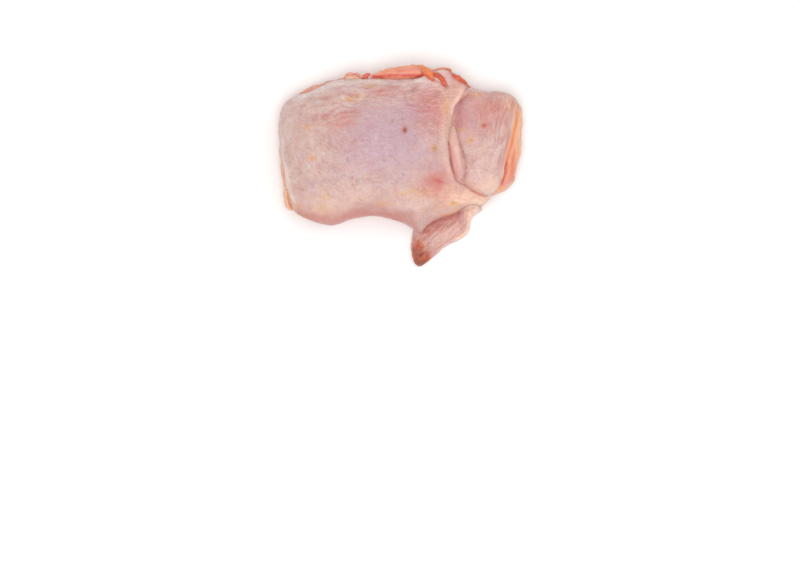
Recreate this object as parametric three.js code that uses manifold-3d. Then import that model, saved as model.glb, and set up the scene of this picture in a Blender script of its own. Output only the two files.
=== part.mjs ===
// A raw chicken thigh, bone in and skin on, lying skin side up with its skin tail spread beside it.
// Millimetres. X runs along the thigh, from the plump end to the folded end, Y across it and Z up.
// The origin is under the middle of the whole piece, on the surface that it lies on.
import * as THREE from 'three';
import { mergeVertices } from 'three/addons/utils/BufferGeometryUtils.js';
import Module from 'manifold-3d';

// Driving dimensions
const CROWN_HEIGHT = 36; // the top of the body above the table
const END_HEIGHT = 25; // the top of the folded end
const TAIL_HEIGHT = 7; // the skin tail, where it is doubled over
const FLAP_HEIGHT = 3; // the single skin of the flap, with its fat
const WAIST_SHARE = 0.4; // the widest point of a side, as a share of the height above it
const TUCK = 7; // how far the underside draws in under the widest point
const FULLNESS = 0.82; // 1 gives an elliptical side, less a fuller one
const SUNK = 2; // how far each form runs below the table before the flat base is cut
const UNEVEN = 0.5; // how much the skin rises and falls between the masses of muscle
const BLUNTNESS = 3; // 2 gives a strand elliptical ends, more gives it blunter ones

// The middle of the finished piece, in the plan that the outlines below are drawn in
const PLAN_MIDDLE = new THREE.Vector3(0.06, 0.24, 0);

// Shares of a form's profile, from the middle of its top to the middle of its base
const TOP_SHARE = 0.45;
const SIDE_SHARE = 0.5;
const BASE_SHARE = 1 - TOP_SHARE - SIDE_SHARE;

// How finely a strand's rings and a crest's line are divided, and how close two vertices are joined
const STRAND_STEPS = 12;
const STRAND_RINGS = 16;
const CREST_POINTS = 16;
const WELD = 1e-4;

// The forms. A corner is x, y and how far in from there the top starts to round off.
// A mass is a soft hill of muscle, or a hollow where its rise is negative. A crest is a fold of skin along a line.

// The meat under the skin, which shows past it at the plump end, along the far side and at the folded end
const meat = {
  corners: [
    [36, 39.5, 4],
    [26, 45, 4],
    [18, 48.6, 3],
    [15.8, 51.6, 2.5],
    [12, 53.9, 2.5],
    [6.4, 53.3, 3],
    [-2, 52.4, 3],
    [-11, 50, 3],
    [-16, 45.5, 4],
    [-34, 42, 6],
    [-52, 33, 6],
    [-60.5, 32, 3],
    [-64.2, 24, 3],
    [-65.2, 10, 3],
    [-63.4, -8, 3],
    [-58.5, -21, 3],
    [-34, -27, 9],
    [12, -24, 9],
    [44, -14, 6],
    [54.5, -12, 5],
    [61, -3, 6],
    [65.2, 16, 6],
    [63.8, 31, 6],
    [58, 34.5, 5],
    [46, 35, 5],
  ],
  middle: [0, 12],
  ground: 14,
  masses: [
    { at: [58, 12], rise: 3, reach: [12, 24] },
    { at: [8, 50], rise: 3, reach: [16, 8] },
  ],
  crests: [],
  steps: 100,
  rings: 14,
};

const body = {
  corners: [
    [25, 41.5, 7],
    [0, 47, 9],
    [-31, 46.3, 12],
    [-53.5, 38, 15],
    [-61.8, 22, 14],
    [-60.8, -4, 14],
    [-55.5, -21.5, 15],
    [-38, -31.5, 14],
    [-14, -27.6, 13],
    [12.5, -35, 14],
    [27, -27, 9],
    [47, -19.5, 6],
    [36, -6, 5],
    [30.5, 18, 5],
  ],
  middle: [-14, 8],
  ground: TAIL_HEIGHT,
  masses: [
    { at: [-17, 9], rise: CROWN_HEIGHT - TAIL_HEIGHT, reach: [62, 50] },
    { at: [47, -21], rise: -8, reach: [17, 13] },
    { at: [16, -33], rise: -7, reach: [15, 10] },
  ],
  crests: [
    { along: [[20, 38], [23.5, 19], [25.5, 0], [30, -10]], rise: 1.5, width: 3 },
    { along: [[4, -17], [22, -16], [44, -18]], rise: 1.2, width: 3 },
  ],
  steps: 80,
  rings: 22,
};

const foldedEnd = {
  corners: [
    [14.5, 42, 6],
    [13, 24, 8],
    [16, 4, 8],
    [28, -6, 6],
    [38, -13.5, 5],
    [46, -16.2, 6],
    [53.5, -11, 8],
    [57.5, 5, 7],
    [60.5, 20, 7],
    [61.5, 32, 8],
    [56, 38.6, 9],
    [46, 39.6, 8],
    [37.4, 42.6, 5],
    [31.5, 47, 4],
    [26, 50.4, 3],
    [20.5, 50.8, 3],
    [16.8, 48.2, 3],
  ],
  middle: [38, 14],
  ground: 10,
  masses: [
    { at: [46, 10], rise: END_HEIGHT - 10, reach: [34, 38] },
    { at: [24, 48], rise: 4, reach: [10, 8] },
  ],
  crests: [
    { along: [[54, 34], [55, 16], [51, -4]], rise: 0.8, width: 2 },
  ],
  steps: 60,
  rings: 18,
};

const flap = {
  corners: [
    [10, -28, 3],
    [6.5, -38, 2.6],
    [6.4, -47.5, 2.6],
    [11, -53.6, 2.6],
    [18, -49, 2.4],
    [27, -41.8, 2.2],
    [35, -36, 2.2],
    [37.4, -29.5, 2.2],
    [42, -24.5, 3],
    [44.5, -19, 3],
    [36, -14, 3],
    [22, -20, 3],
  ],
  middle: [25, -32],
  ground: FLAP_HEIGHT,
  masses: [
    { at: [41, -19], rise: 4, reach: [9, 9] },
    { at: [21, -36], rise: 2, reach: [7, 9] },
  ],
  crests: [
    { along: [[40, -20], [36, -28], [33, -34]], rise: 1.6, width: 2.2 },
    { along: [[30, -27], [20, -38], [12, -49]], rise: 0.8, width: 1.8 },
  ],
  steps: 56,
  rings: 16,
};

// Strands lie along a curve of x, y, z points. They taper to rounded ends.
const strands = {
  farFlesh: { along: [[-17, 45, 13.5], [-5, 48, 15], [6, 49, 15.5], [15.5, 48.2, 15.5]], wide: 4, deep: 2.6 },
  farFleshTip: { along: [[5, 51, 14.8], [12, 51.6, 16], [16.4, 48, 16.6]], wide: 2, deep: 2 },
  frill: { along: [[-31, 44.8, 12], [-26, 47.5, 12.8], [-20.5, 47.6, 13], [-15.5, 45, 12.5]], wide: 1.7, deep: 2.2 },
  twist: { along: [[16.8, 49, 15.4], [20.5, 45.6, 17.6], [24.5, 40.5, 20.4]], wide: 1.8, deep: 1.5 },
  twistArch: { along: [[18, 49.6, 14.4], [24, 49.4, 15.4], [30, 46.4, 15.8], [36.5, 41.5, 15.8]], wide: 1.5, deep: 1.6 },
  hemRoll: { along: [[26.5, 21, 22], [28.8, 9, 22.6], [31, -1, 22.4], [33, -8, 20.5]], wide: 2.3, deep: 2 },
};

/** A closed curve through an outline's corners. Its z is the corner's third value, not a height. */
const outlineOf = (corners) =>
  new THREE.CatmullRomCurve3(corners.map((corner) => new THREE.Vector3(...corner)), true, 'catmullrom', 0.5);

/** The unit interval repeated, so that a seam's two ends read the same point. */
const wrapped = (share) => ((share % 1) + 1) % 1;

/** A sine or cosine pushed outwards, which makes a side fuller than an ellipse. */
const full = (value) => Math.sign(value) * Math.abs(value) ** FULLNESS;

/** A rounded hill with its top at `at`, fading over `reach` in x and y. */
const hill = ({ at, rise, reach }, x, y) =>
  rise * Math.exp(-(((x - at[0]) / reach[0]) ** 2) - ((y - at[1]) / reach[1]) ** 2);

/** A fold that stands up along a line of plan points, with a bell-shaped section. */
function crest({ points, rise, width }, x, y) {
  const nearest = Math.min(...points.map((point) => Math.hypot(point.x - x, point.y - y)));
  return rise * Math.exp(-((nearest / width) ** 2));
}

/** Soft unevenness over the whole skin, as two crossing waves about 50 mm long. */
const uneven = (x, y) => UNEVEN * Math.sin(x / 8 + Math.sin(y / 11)) * Math.cos(y / 9 - x / 21);

/** The height of a form's top at a plan point. */
function topHeight(form, x, y) {
  const hills = form.masses.reduce((sum, mass) => sum + hill(mass, x, y), form.ground);
  return form.crests.reduce((sum, fold) => sum + crest(fold, x, y), hills + uneven(x, y));
}

/** Moves each vertex of a unit sphere to place(around, down), both from 0 to 1. */
function wrapSphere(steps, rings, place) {
  const sphere = new THREE.SphereGeometry(1, steps, rings);
  const { position, uv } = sphere.attributes;
  for (let i = 0; i < position.count; i++) {
    const { x, y, z } = place(wrapped(uv.getX(i)), 1 - uv.getY(i));
    position.setXYZ(i, x, y, z);
  }
  return sphere;
}

/** A soft form that lies on the table: a domed top, sides that bulge and draw in underneath, and a base. */
function pillow(form) {
  const outline = outlineOf(form.corners);
  const middle = new THREE.Vector2(...form.middle);
  const crests = form.crests.map((fold) => ({
    ...fold,
    points: new THREE.SplineCurve(fold.along.map(([x, y]) => new THREE.Vector2(x, y))).getPoints(CREST_POINTS),
  }));
  const shape = { ...form, crests };
  return wrapSphere(form.steps, form.rings, (around, down) => {
    const corner = outline.getPointAt(around);
    const softness = corner.z;
    const edge = new THREE.Vector2(corner.x, corner.y);
    const reach = edge.distanceTo(middle);
    const side = (down - TOP_SHARE) / SIDE_SHARE;
    const turn = Math.PI * THREE.MathUtils.clamp(side, 0, 1);
    const over = turn <= Math.PI / 2;
    let inset = (over ? softness : TUCK) * (1 - full(Math.sin(turn)));
    if (side < 0) inset = THREE.MathUtils.lerp(reach, softness, down / TOP_SHARE);
    if (side > 1) inset = THREE.MathUtils.lerp(TUCK, reach, (side - 1) * SIDE_SHARE / BASE_SHARE);
    const spot = edge.clone().lerp(middle, inset / reach);
    const top = over ? topHeight(shape, spot.x, spot.y) : topHeight(shape, edge.x, edge.y);
    const waist = WAIST_SHARE * top;
    const z = over ? waist + (top - waist) * full(Math.cos(turn)) : waist + (waist + SUNK) * full(Math.cos(turn));
    return new THREE.Vector3(spot.x, spot.y, z);
  });
}

/** A strand of flesh, fat or skin: an ellipse of half sizes wide and deep, carried along a curve. */
function strand({ along, wide, deep }) {
  const curve = new THREE.CatmullRomCurve3(along.map((point) => new THREE.Vector3(...point)));
  const up = new THREE.Vector3(0, 0, 1);
  return wrapSphere(STRAND_STEPS, STRAND_RINGS, (around, down) => {
    const centre = curve.getPointAt(down);
    const tangent = curve.getTangentAt(down);
    const sideways = new THREE.Vector3().crossVectors(tangent, up).normalize();
    const upwards = new THREE.Vector3().crossVectors(sideways, tangent);
    const taper = Math.sqrt(1 - Math.abs(2 * down - 1) ** BLUNTNESS);
    const angle = 2 * Math.PI * around;
    return centre
      .addScaledVector(sideways, wide * taper * Math.cos(angle))
      .addScaledVector(upwards, deep * taper * Math.sin(angle));
  });
}

const wasm = await Module();
wasm.setup();

/** A closed geometry as a solid that can be joined and cut. */
function solidOf(geometry) {
  geometry.deleteAttribute('normal');
  geometry.deleteAttribute('uv');
  const merged = mergeVertices(geometry, WELD);
  return new wasm.Manifold(
    new wasm.Mesh({
      numProp: 3,
      vertProperties: new Float32Array(merged.attributes.position.array),
      triVerts: new Uint32Array(merged.index.array),
    }),
  );
}

/** A solid back as a geometry. */
function geometryOf(solid) {
  const { vertProperties, triVerts } = solid.getMesh();
  return new THREE.BufferGeometry()
    .setAttribute('position', new THREE.BufferAttribute(vertProperties, 3))
    .setIndex(new THREE.BufferAttribute(triVerts, 1));
}

const ROOM = 300; // a block over the table, larger than the thigh
const aboveTable = new THREE.BoxGeometry(ROOM, ROOM, ROOM).translate(0, 0, ROOM / 2);

const pieces = [...[meat, body, foldedEnd, flap].map(pillow), ...Object.values(strands).map(strand)];
const joined = pieces.map(solidOf).reduce((whole, piece) => whole.add(piece));
const resting = joined.intersect(solidOf(aboveTable));

const skin = new THREE.MeshStandardMaterial({ color: 0xdcbab1, roughness: 0.45, metalness: 0 });
const mesh = new THREE.Mesh(geometryOf(resting), skin);
mesh.name = 'thigh';
mesh.position.copy(PLAN_MIDDLE).negate();

const thigh = new THREE.Group();
thigh.add(mesh);

export default thigh;
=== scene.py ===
"""The looks of one raw chicken thigh, skin on, lying skin side up with its skin tail spread beside it.

Sizes are millimetres until a mesh is made. X runs along the thigh, from the plump end to the folded end,
Y runs across it and Z up. The places of the forms are those of the solid that the pieces stand for.
"""

import logging
import math
from collections.abc import Callable
from dataclasses import dataclass, field
from enum import Enum

import bpy
import numpy as np
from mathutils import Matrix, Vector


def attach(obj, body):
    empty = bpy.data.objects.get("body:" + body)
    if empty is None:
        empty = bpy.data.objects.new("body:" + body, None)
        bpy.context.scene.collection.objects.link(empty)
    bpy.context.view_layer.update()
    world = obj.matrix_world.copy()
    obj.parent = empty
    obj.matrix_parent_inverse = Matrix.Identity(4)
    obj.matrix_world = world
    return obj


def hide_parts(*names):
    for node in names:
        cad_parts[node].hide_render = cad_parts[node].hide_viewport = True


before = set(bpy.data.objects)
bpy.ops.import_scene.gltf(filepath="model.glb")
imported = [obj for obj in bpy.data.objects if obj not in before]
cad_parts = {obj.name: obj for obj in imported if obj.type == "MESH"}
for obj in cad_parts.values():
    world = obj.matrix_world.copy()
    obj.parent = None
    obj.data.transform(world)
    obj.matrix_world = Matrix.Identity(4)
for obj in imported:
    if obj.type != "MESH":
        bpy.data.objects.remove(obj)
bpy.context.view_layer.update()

LOG = logging.getLogger("thigh")
Array = np.ndarray
Point = tuple[float, float]
Corner = tuple[float, float, float]
Color = tuple[float, float, float, float]
Socket = bpy.types.NodeSocket
Given = Socket | Color | Corner | float  # what a node's input takes: another node's output, or a value

MM = 0.001
NODE = "thigh"
BODY = "root"
PLAN_MIDDLE = np.array([0.06, 0.24, 0.0])  # the part's own origin, in the plan of the outlines
TABLE_GAP = 0.05  # how far the lowest skin is above the table

# The solid's own profile, which the forms below share
WAIST_SHARE = 0.4
TUCK = 7.0
FULLNESS = 0.82
SUNK = 2.0
UNEVEN = 0.5

# The seeds of the random fields. Those of the skins and of the shreds count up from here, piece by piece
MEAT_SEED = 11
SKIN_SEED = 20
SHRED_SEED = 40

WARP = 4.0  # how strong the random warp of the stains' places is
WARP_SIZE = 6.0  # how far apart its swings are, and the least size of a stain that takes all of it
GRAIN = "grain"  # the named value that holds the ways along and across the fibres


class Tint(Enum):
    """The stains over a finish's own colour, and painted shade and painted highlights. Each is a named value
    at a mesh's points.
    """

    LAVENDER = "lavender"
    # partly pale patches of the tissue, partly painted highlights and painted light along rims, hems and
    # goosebumps
    PALE_AND_HIGHLIGHT = "pale"
    ROSE = "rose"
    CREAM = "cream"
    BLOOD = "blood"
    STRAW = "straw"
    FRECKLE = "freckle"
    RUST = "rust"
    # painted shade in creases, grooves and gaps and on the slope to the lower edge, partly the red of flesh
    # seen in the gaps
    CREASE = "crease_shade"


TintColor = tuple[Tint, Color, float]  # a tint, its colour in a finish, and how broken up its edge is


def smooth(low: float, high: float, value: Array) -> Array:
    """A smooth step.

    Args:
        low: Where the step starts.
        high: Where it ends.
        value: What is stepped.

    Returns:
        0 below low, 1 above high, and 3 s squared minus 2 s cubed of the share s between.
    """
    share = np.clip((value - low) / (high - low), 0, 1)
    return share * share * (3 - 2 * share)


def full(value: Array, power: float) -> Array:
    """A sine or cosine raised to a power with its sign kept. Below 1 a side is fuller than an ellipse."""
    return np.sign(value) * np.abs(value) ** power


def bell(x: Array, y: Array, at: Point, reach: Point, turn: float = 0.0) -> Array:
    """A bell-shaped hill.

    Args:
        x: Plan places along the thigh.
        y: Plan places across it.
        at: The hill's middle.
        reach: How far it spreads along its own two axes.
        turn: How far those axes are turned, in degrees.

    Returns:
        e to the minus (u / reach u) squared minus (v / reach v) squared, with u and v the turned offsets.
    """
    angle = math.radians(turn)
    u = (x - at[0]) * math.cos(angle) + (y - at[1]) * math.sin(angle)
    v = (y - at[1]) * math.cos(angle) - (x - at[0]) * math.sin(angle)
    return np.exp(-((u / reach[0]) ** 2) - (v / reach[1]) ** 2)


def flat(x: Array, y: Array) -> Array:
    """Plan places as points at height 0, one a row."""
    return np.stack([x, y, np.zeros_like(x)], -1)


def ridges(wave: Array, steep: float) -> Array:
    """Rounded ridges between narrow grooves: the smaller of 1 and steep times |wave|, less 0.6."""
    return np.minimum(1, steep * np.abs(wave)) - 0.6


def curve_through(points: Array, closed: bool, fineness: int = 40) -> Array:
    """A Catmull-Rom curve.

    Between two points the curve is a cubic. Its slope at each of them is half the step between that point's
    neighbours.

    Args:
        points: The points, one a row.
        closed: Whether the curve returns to its first point.
        fineness: How many steps each stretch between two points gets.

    Returns:
        The points of the curve, one a row, with the first repeated at the end of a closed one.
    """
    count = len(points)
    spans = count if closed else count - 1
    place = np.linspace(0, spans, spans * fineness + 1)
    span = np.minimum(place.astype(int), spans - 1)
    share = (place - span)[:, None]
    if closed:
        before, start, end, after = (points[(span + k) % count] for k in (-1, 0, 1, 2))
    else:
        run = np.vstack([2 * points[0] - points[1], points, 2 * points[-1] - points[-2]])
        before, start, end, after = (run[span + k] for k in (0, 1, 2, 3))
    leave, arrive = (end - before) / 2, (after - start) / 2
    square = 3 * (end - start) - 2 * leave - arrive
    cube = 2 * (start - end) + leave + arrive
    return start + leave * share + square * share**2 + cube * share**3


def along_evenly(curve: Array, shares: Array, axes: int = 3) -> Array:
    """The points of a curve at given shares of its length.

    Args:
        curve: Its points, one a row.
        shares: The shares, 0 to 1.
        axes: How many of its first columns its length is measured over.

    Returns:
        The points there, one a row, with every column of the curve.
    """
    steps = np.linalg.norm(np.diff(curve[:, :axes], axis=0), axis=1)
    run = np.concatenate([[0], np.cumsum(steps)])
    return np.stack([np.interp(shares * run[-1], run, column) for column in curve.T], -1)


def distance_to(curve: Array, x: Array, y: Array) -> Array:
    """How far plan points are from a curve.

    Args:
        curve: The curve's points, one a row.
        x: Plan places along the thigh.
        y: Plan places across it.

    Returns:
        The least distance to any of the curve's short straight steps.
    """
    start, step = curve[:-1, :2], np.diff(curve[:, :2], axis=0)
    away = np.stack([x, y], -1)[..., None, :] - start
    share = np.clip((away * step).sum(-1) / (step**2).sum(-1), 0, 1)
    return np.linalg.norm(away - share[..., None] * step, axis=-1).min(-1)


class Noise:
    """Random fields that vary smoothly in space and are the same on every run."""

    SIZE = 32  # the lattice repeats after this many steps

    def __init__(self, seed: int) -> None:
        """Draws the lattice's slopes and the places of its cells' middles.

        Args:
            seed: What the draws start from.
        """
        draw = np.random.default_rng(seed)
        slopes = draw.normal(size=(self.SIZE, self.SIZE, self.SIZE, 3))
        self.slopes = slopes / np.linalg.norm(slopes, axis=-1, keepdims=True)
        self.middles = draw.random((self.SIZE, self.SIZE, self.SIZE, 3))

    def waves(self, points: Array) -> Array:
        """Gradient noise.

        Args:
            points: Places, in lattice steps, one a row.

        Returns:
            At each corner of the lattice cube round a point, the corner's slope times the way from it.
            Between the eight corners it is their blend by the quintic 6 s^5 - 15 s^4 + 10 s^3. It runs
            from -0.8 to 0.8 or so.
        """
        cell = np.floor(points).astype(int)
        share = points - cell
        ease = share**3 * (share * (share * 6 - 15) + 10)
        total = np.zeros(len(points))
        for corner in np.ndindex(2, 2, 2):
            at = (cell + corner) % self.SIZE
            slope = self.slopes[at[:, 0], at[:, 1], at[:, 2]]
            weight = np.prod(np.where(corner, ease, 1 - ease), axis=1)
            total += weight * (slope * (share - corner)).sum(1)
        return total

    def layered(self, points: Array, octaves: int) -> Array:
        """Gradient noise with finer noise added, each layer twice as fine and half as strong."""
        layers = (self.waves(points * 2**k + 7.3 * k) / 2**k for k in range(octaves))
        return sum(layers)

    def cells(self, points: Array) -> tuple[Array, Array]:
        """Cellular noise.

        Args:
            points: Places, in lattice steps, one a row.

        Returns:
            The distance to the nearest of the middles, of which each lattice cube has one, and how much
            further the second nearest is, which is 0 on the border between two cells.
        """
        cell = np.floor(points).astype(int)
        share = points - cell
        nearest = np.full(len(points), 9.0)
        second = nearest.copy()
        for step in np.ndindex(3, 3, 3):
            offset = np.array(step) - 1
            at = (cell + offset) % self.SIZE
            gap = np.linalg.norm(offset + self.middles[at[:, 0], at[:, 1], at[:, 2]] - share, axis=1)
            second = np.minimum(second, np.maximum(nearest, gap))
            nearest = np.minimum(nearest, gap)
        return nearest, second - nearest


@dataclass(frozen=True)
class Hill:
    """A soft hill of muscle, or a hollow where its rise is negative."""

    at: Point
    rise: float
    reach: Point

    def height(self, x: Array, y: Array) -> Array:
        """Its height at plan points."""
        return self.rise * bell(x, y, self.at, self.reach)


@dataclass(frozen=True)
class Crest:
    """A fold that stands up along a line, or a groove where its rise is negative."""

    along: tuple[Point, ...]
    rise: float
    width: float

    def height(self, x: Array, y: Array) -> Array:
        """Rise times e to the minus (distance from the line / width) squared, so its two ends are round."""
        line = curve_through(np.array(self.along, float), closed=False, fineness=6)
        return self.rise * np.exp(-((distance_to(line, x, y) / self.width) ** 2))


@dataclass(frozen=True)
class Form:
    """A domed form. A corner is x, y and how far in from there the top starts to round off."""

    corners: tuple[Corner, ...]
    middle: Point
    ground: float
    hills: tuple[Hill, ...] = ()
    crests: tuple[Crest, ...] = ()
    fullness: float = FULLNESS
    tuck: float = TUCK  # how far in the side turns below its widest line

    def height(self, x: Array, y: Array) -> Array:
        """The top's height: the ground, its hills and crests, and two crossing waves of unevenness."""
        waves = UNEVEN * np.sin(x / 8 + np.sin(y / 11)) * np.cos(y / 9 - x / 21)
        return self.ground + waves + sum(relief.height(x, y) for relief in self.hills + self.crests)


class Field:
    """The distance from any plan point to a line, kept on a grid and read between its points."""

    PITCH = 1.5  # the grid's step
    ROOM = 75.0  # how far it reaches from the plan's origin

    def __init__(self, points: tuple[Point, ...], closed: bool) -> None:
        """Measures the distance from each point of the grid to the line.

        Args:
            points: What the line's curve runs through.
            closed: Whether it returns to its first point.
        """
        line = curve_through(np.array(points, float), closed=closed, fineness=8)
        self.axis = np.arange(-self.ROOM, self.ROOM, self.PITCH)
        x, y = np.meshgrid(self.axis, self.axis, indexing="ij")
        self.kept = distance_to(line, x, y)

    def at(self, x: Array, y: Array) -> Array:
        """The distance at plan points.

        Args:
            x: Their places along the thigh.
            y: Their places across it.

        Returns:
            A blend of the distances at the grid's four nearest points.
        """
        last = len(self.axis) - 1.001
        column = np.clip((x + self.ROOM) / self.PITCH, 0, last)
        row = np.clip((y + self.ROOM) / self.PITCH, 0, last)
        i, j = column.astype(int), row.astype(int)
        s, t = column - i, row - j
        low = self.kept[i, j] * (1 - s) + self.kept[i + 1, j] * s
        high = self.kept[i, j + 1] * (1 - s) + self.kept[i + 1, j + 1] * s
        return low * (1 - t) + high * t


class Footprint:
    """Where the thigh meets the table, and where its skin ends."""

    OUTLINE = (
        (16, 47), (0, 47), (-31, 46.3), (-54, 38.4), (-63.4, 22.6), (-62.8, -4), (-57.4, -21.8),
        (-38, -31.5), (-14, -26.4), (12.5, -35), (27, -27), (44, -20), (52, -12), (57.5, 5), (60.5, 20),
        (61.5, 32), (56, 38.6), (46, 39.6), (37.4, 42.6), (26, 50.4),
    )
    FAR_HEM = (
        (-53, -24.6), (-58, -21), (-62.8, -4), (-63.6, 20), (-54, 38.4), (-31, 46.3), (0, 47.3), (17, 50),
        (27, 50), (37, 43),
    )  # the end and side along which the skin stops above the table, and the meat shows below it
    END_HEM = ((52, -13), (57.2, 5), (59.8, 17), (61, 30), (59, 36), (47, 39.4))
    HEM = 11.0  # how far in from the outline the skin ends underneath elsewhere
    WANDER = 6.0  # how far its hem wanders from that
    SKIN = 2.4  # the skin's thickness at its hem
    LIFT = 8.0  # how far the skin's edge is above the table along the two hems
    DIP = Hill((-64, 8), -3.0, (14, 20))  # round the plump end it hangs lower
    SWAY = 3.0  # how far it rises and falls along its way
    BARE = (8, 15)  # how far from the two hems the skin's edge starts and ends to come down to the table
    STEP = 0.7  # how far on each side of its hem underneath the skin thins out
    BAND = 9.5  # a muscle's width underneath, over pi
    BEND = 9.0  # how far the muscles' bands bend
    SEAM = 0.2  # half of a seam's width, where a band's is pi
    LEAN = 0.45  # how far the fibres lean in a muscle, at most, in radians
    SEAM_DEPTH = 0.9
    FLESH_GAP = 0.25  # how far the muscles are above the table between the seams, at least
    ROUGH = 0.5  # how uneven they are there

    def __init__(self, noise: Noise) -> None:
        """Measures the distances to the outline and to both hems.

        Args:
            noise: The random field that makes the skin's edge and the muscles wander.
        """
        self.noise = noise
        self.outline = Field(self.OUTLINE, closed=True)
        self.hems = [Field(hem, closed=False) for hem in (self.FAR_HEM, self.END_HEM)]

    def past_hem(self, x: Array, y: Array) -> Array:
        """How far plan points are inside the skin's wandering hem, below 0 where there is skin."""
        return self.outline.at(x, y) - self.HEM - self.WANDER * self.noise.layered(flat(x, y) / 14, 2)

    def bare(self, x: Array, y: Array) -> Array:
        """1 where the skin stops above the table, 0 where it reaches under the thigh."""
        return np.max([1 - smooth(*self.BARE, hem.at(x, y)) for hem in self.hems], axis=0)

    def under_skin(self, x: Array, y: Array) -> Array:
        """The lowest that the skin reaches.

        Args:
            x: Plan places along the thigh.
            y: Plan places across it.

        Returns:
            The height of the table near the outline, a step up past the skin's hem underneath, and the edge's
            own height along the far side and the two ends.
        """
        lift = self.LIFT + self.DIP.height(x, y) + self.SWAY * self.noise.waves(flat(x, y) / 13)
        step = self.SKIN * smooth(-self.STEP, self.STEP, self.past_hem(x, y))
        return TABLE_GAP + step + lift * self.bare(x, y)

    def muscles(self, x: Array, y: Array) -> Array:
        """Which muscle underneath a place is in: pi more from one bent band, 30 mm wide, to the next."""
        return (y + self.BEND * self.noise.layered(flat(x, y) / 30, 2)) / self.BAND + x / 60

    def seams(self, x: Array, y: Array) -> Array:
        """The seams between the muscles underneath: 1 along them, 0 between them."""
        return np.exp(-((np.sin(self.muscles(x, y)) / self.SEAM) ** 2))

    def grain(self, x: Array, y: Array) -> tuple[Array, Array]:
        """The way of the fibres underneath, which lean up to 26 degrees, by another angle in each muscle.

        Args:
            x: Plan places along the thigh.
            y: Plan places across it.

        Returns:
            The way along the fibres and the way across them: the places turned by the lean, the second with a
            random bend.
        """
        lean = self.LEAN * np.sin(2.4 * np.floor(self.muscles(x, y) / math.pi) + 1)
        bend = 4 * self.noise.layered(flat(x, y) / 18 + 5, 2)
        return x * np.cos(lean) + y * np.sin(lean), y * np.cos(lean) - x * np.sin(lean) + bend

    def under_flesh(self, x: Array, y: Array) -> Array:
        """The flesh underneath: soft muscles that lie on the table, with seams between them."""
        rough = self.ROUGH * np.abs(self.noise.layered(flat(x, y) / 7 + 3, 3))
        return self.FLESH_GAP + self.SEAM_DEPTH * self.seams(x, y) + rough


@dataclass
class Surface:
    """A closed mesh, with named values at its points."""

    points: Array
    quads: Array
    triangles: Array
    masks: dict[str, Array] = field(default_factory=dict)

    def normals(self) -> Array:
        """The unit normals.

        Returns:
            At each point the sum of its faces' normals, brought to length 1. A face's normal is the cross
            product of the way from its first corner to its third and of that from its second to its last.
        """
        total = np.zeros_like(self.points)
        for faces in (self.quads, self.triangles):
            corners = self.points[faces]
            cross = np.cross(corners[:, 2] - corners[:, 0], corners[:, -1] - corners[:, 1])
            for k in range(faces.shape[1]):
                for axis in range(3):
                    total[:, axis] += np.bincount(faces[:, k], cross[:, axis], len(total))
        return total / np.maximum(np.linalg.norm(total, axis=1, keepdims=True), 1e-12)

    def pushed(self, amount: Array) -> None:
        """Moves each point along its normal by that many millimetres, but not through the table."""
        self.points = self.points + self.normals() * amount[:, None]
        self.points[:, 2] = np.maximum(self.points[:, 2], TABLE_GAP)

    def deepen(self, tint: Tint, amount: Array) -> None:
        """Adds to a tint's strength at the points, between 0 and 1."""
        self.masks[tint.value] = np.clip(self.masks[tint.value] + amount, 0, 1)


@dataclass(frozen=True)
class Detail:
    """How finely a domed form is divided: cells across its top, and rings down its side and over its base."""

    cells: int
    side: int
    base: int


def on_table(x: Array, y: Array) -> Array:
    """The lowest height of a form that lies flat."""
    return np.full_like(x, TABLE_GAP)


def concentric(cells: int) -> tuple[Array, Array]:
    """The points of a square grid, laid out in concentric squares.

    Args:
        cells: How many cells the grid has along a side.

    Returns:
        Each point's share of the way round its own square, and of the way out to the grid's rim, which is the
        larger of |u| and |v|.
    """
    u, v = (w.ravel() for w in np.meshgrid(*[np.linspace(-1, 1, cells + 1)] * 2, indexing="ij"))
    out = np.maximum(np.maximum(np.abs(u), np.abs(v)), 1e-9)
    around = np.select(
        [(u >= out) & (v < out), (v >= out) & (u > -out), (u <= -out) & (v > -out)],
        [(v / out + 1) / 8, 0.25 + (1 - u / out) / 8, 0.5 + (1 - v / out) / 8],
        0.75 + (u / out + 1) / 8,
    )
    return around, out


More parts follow.
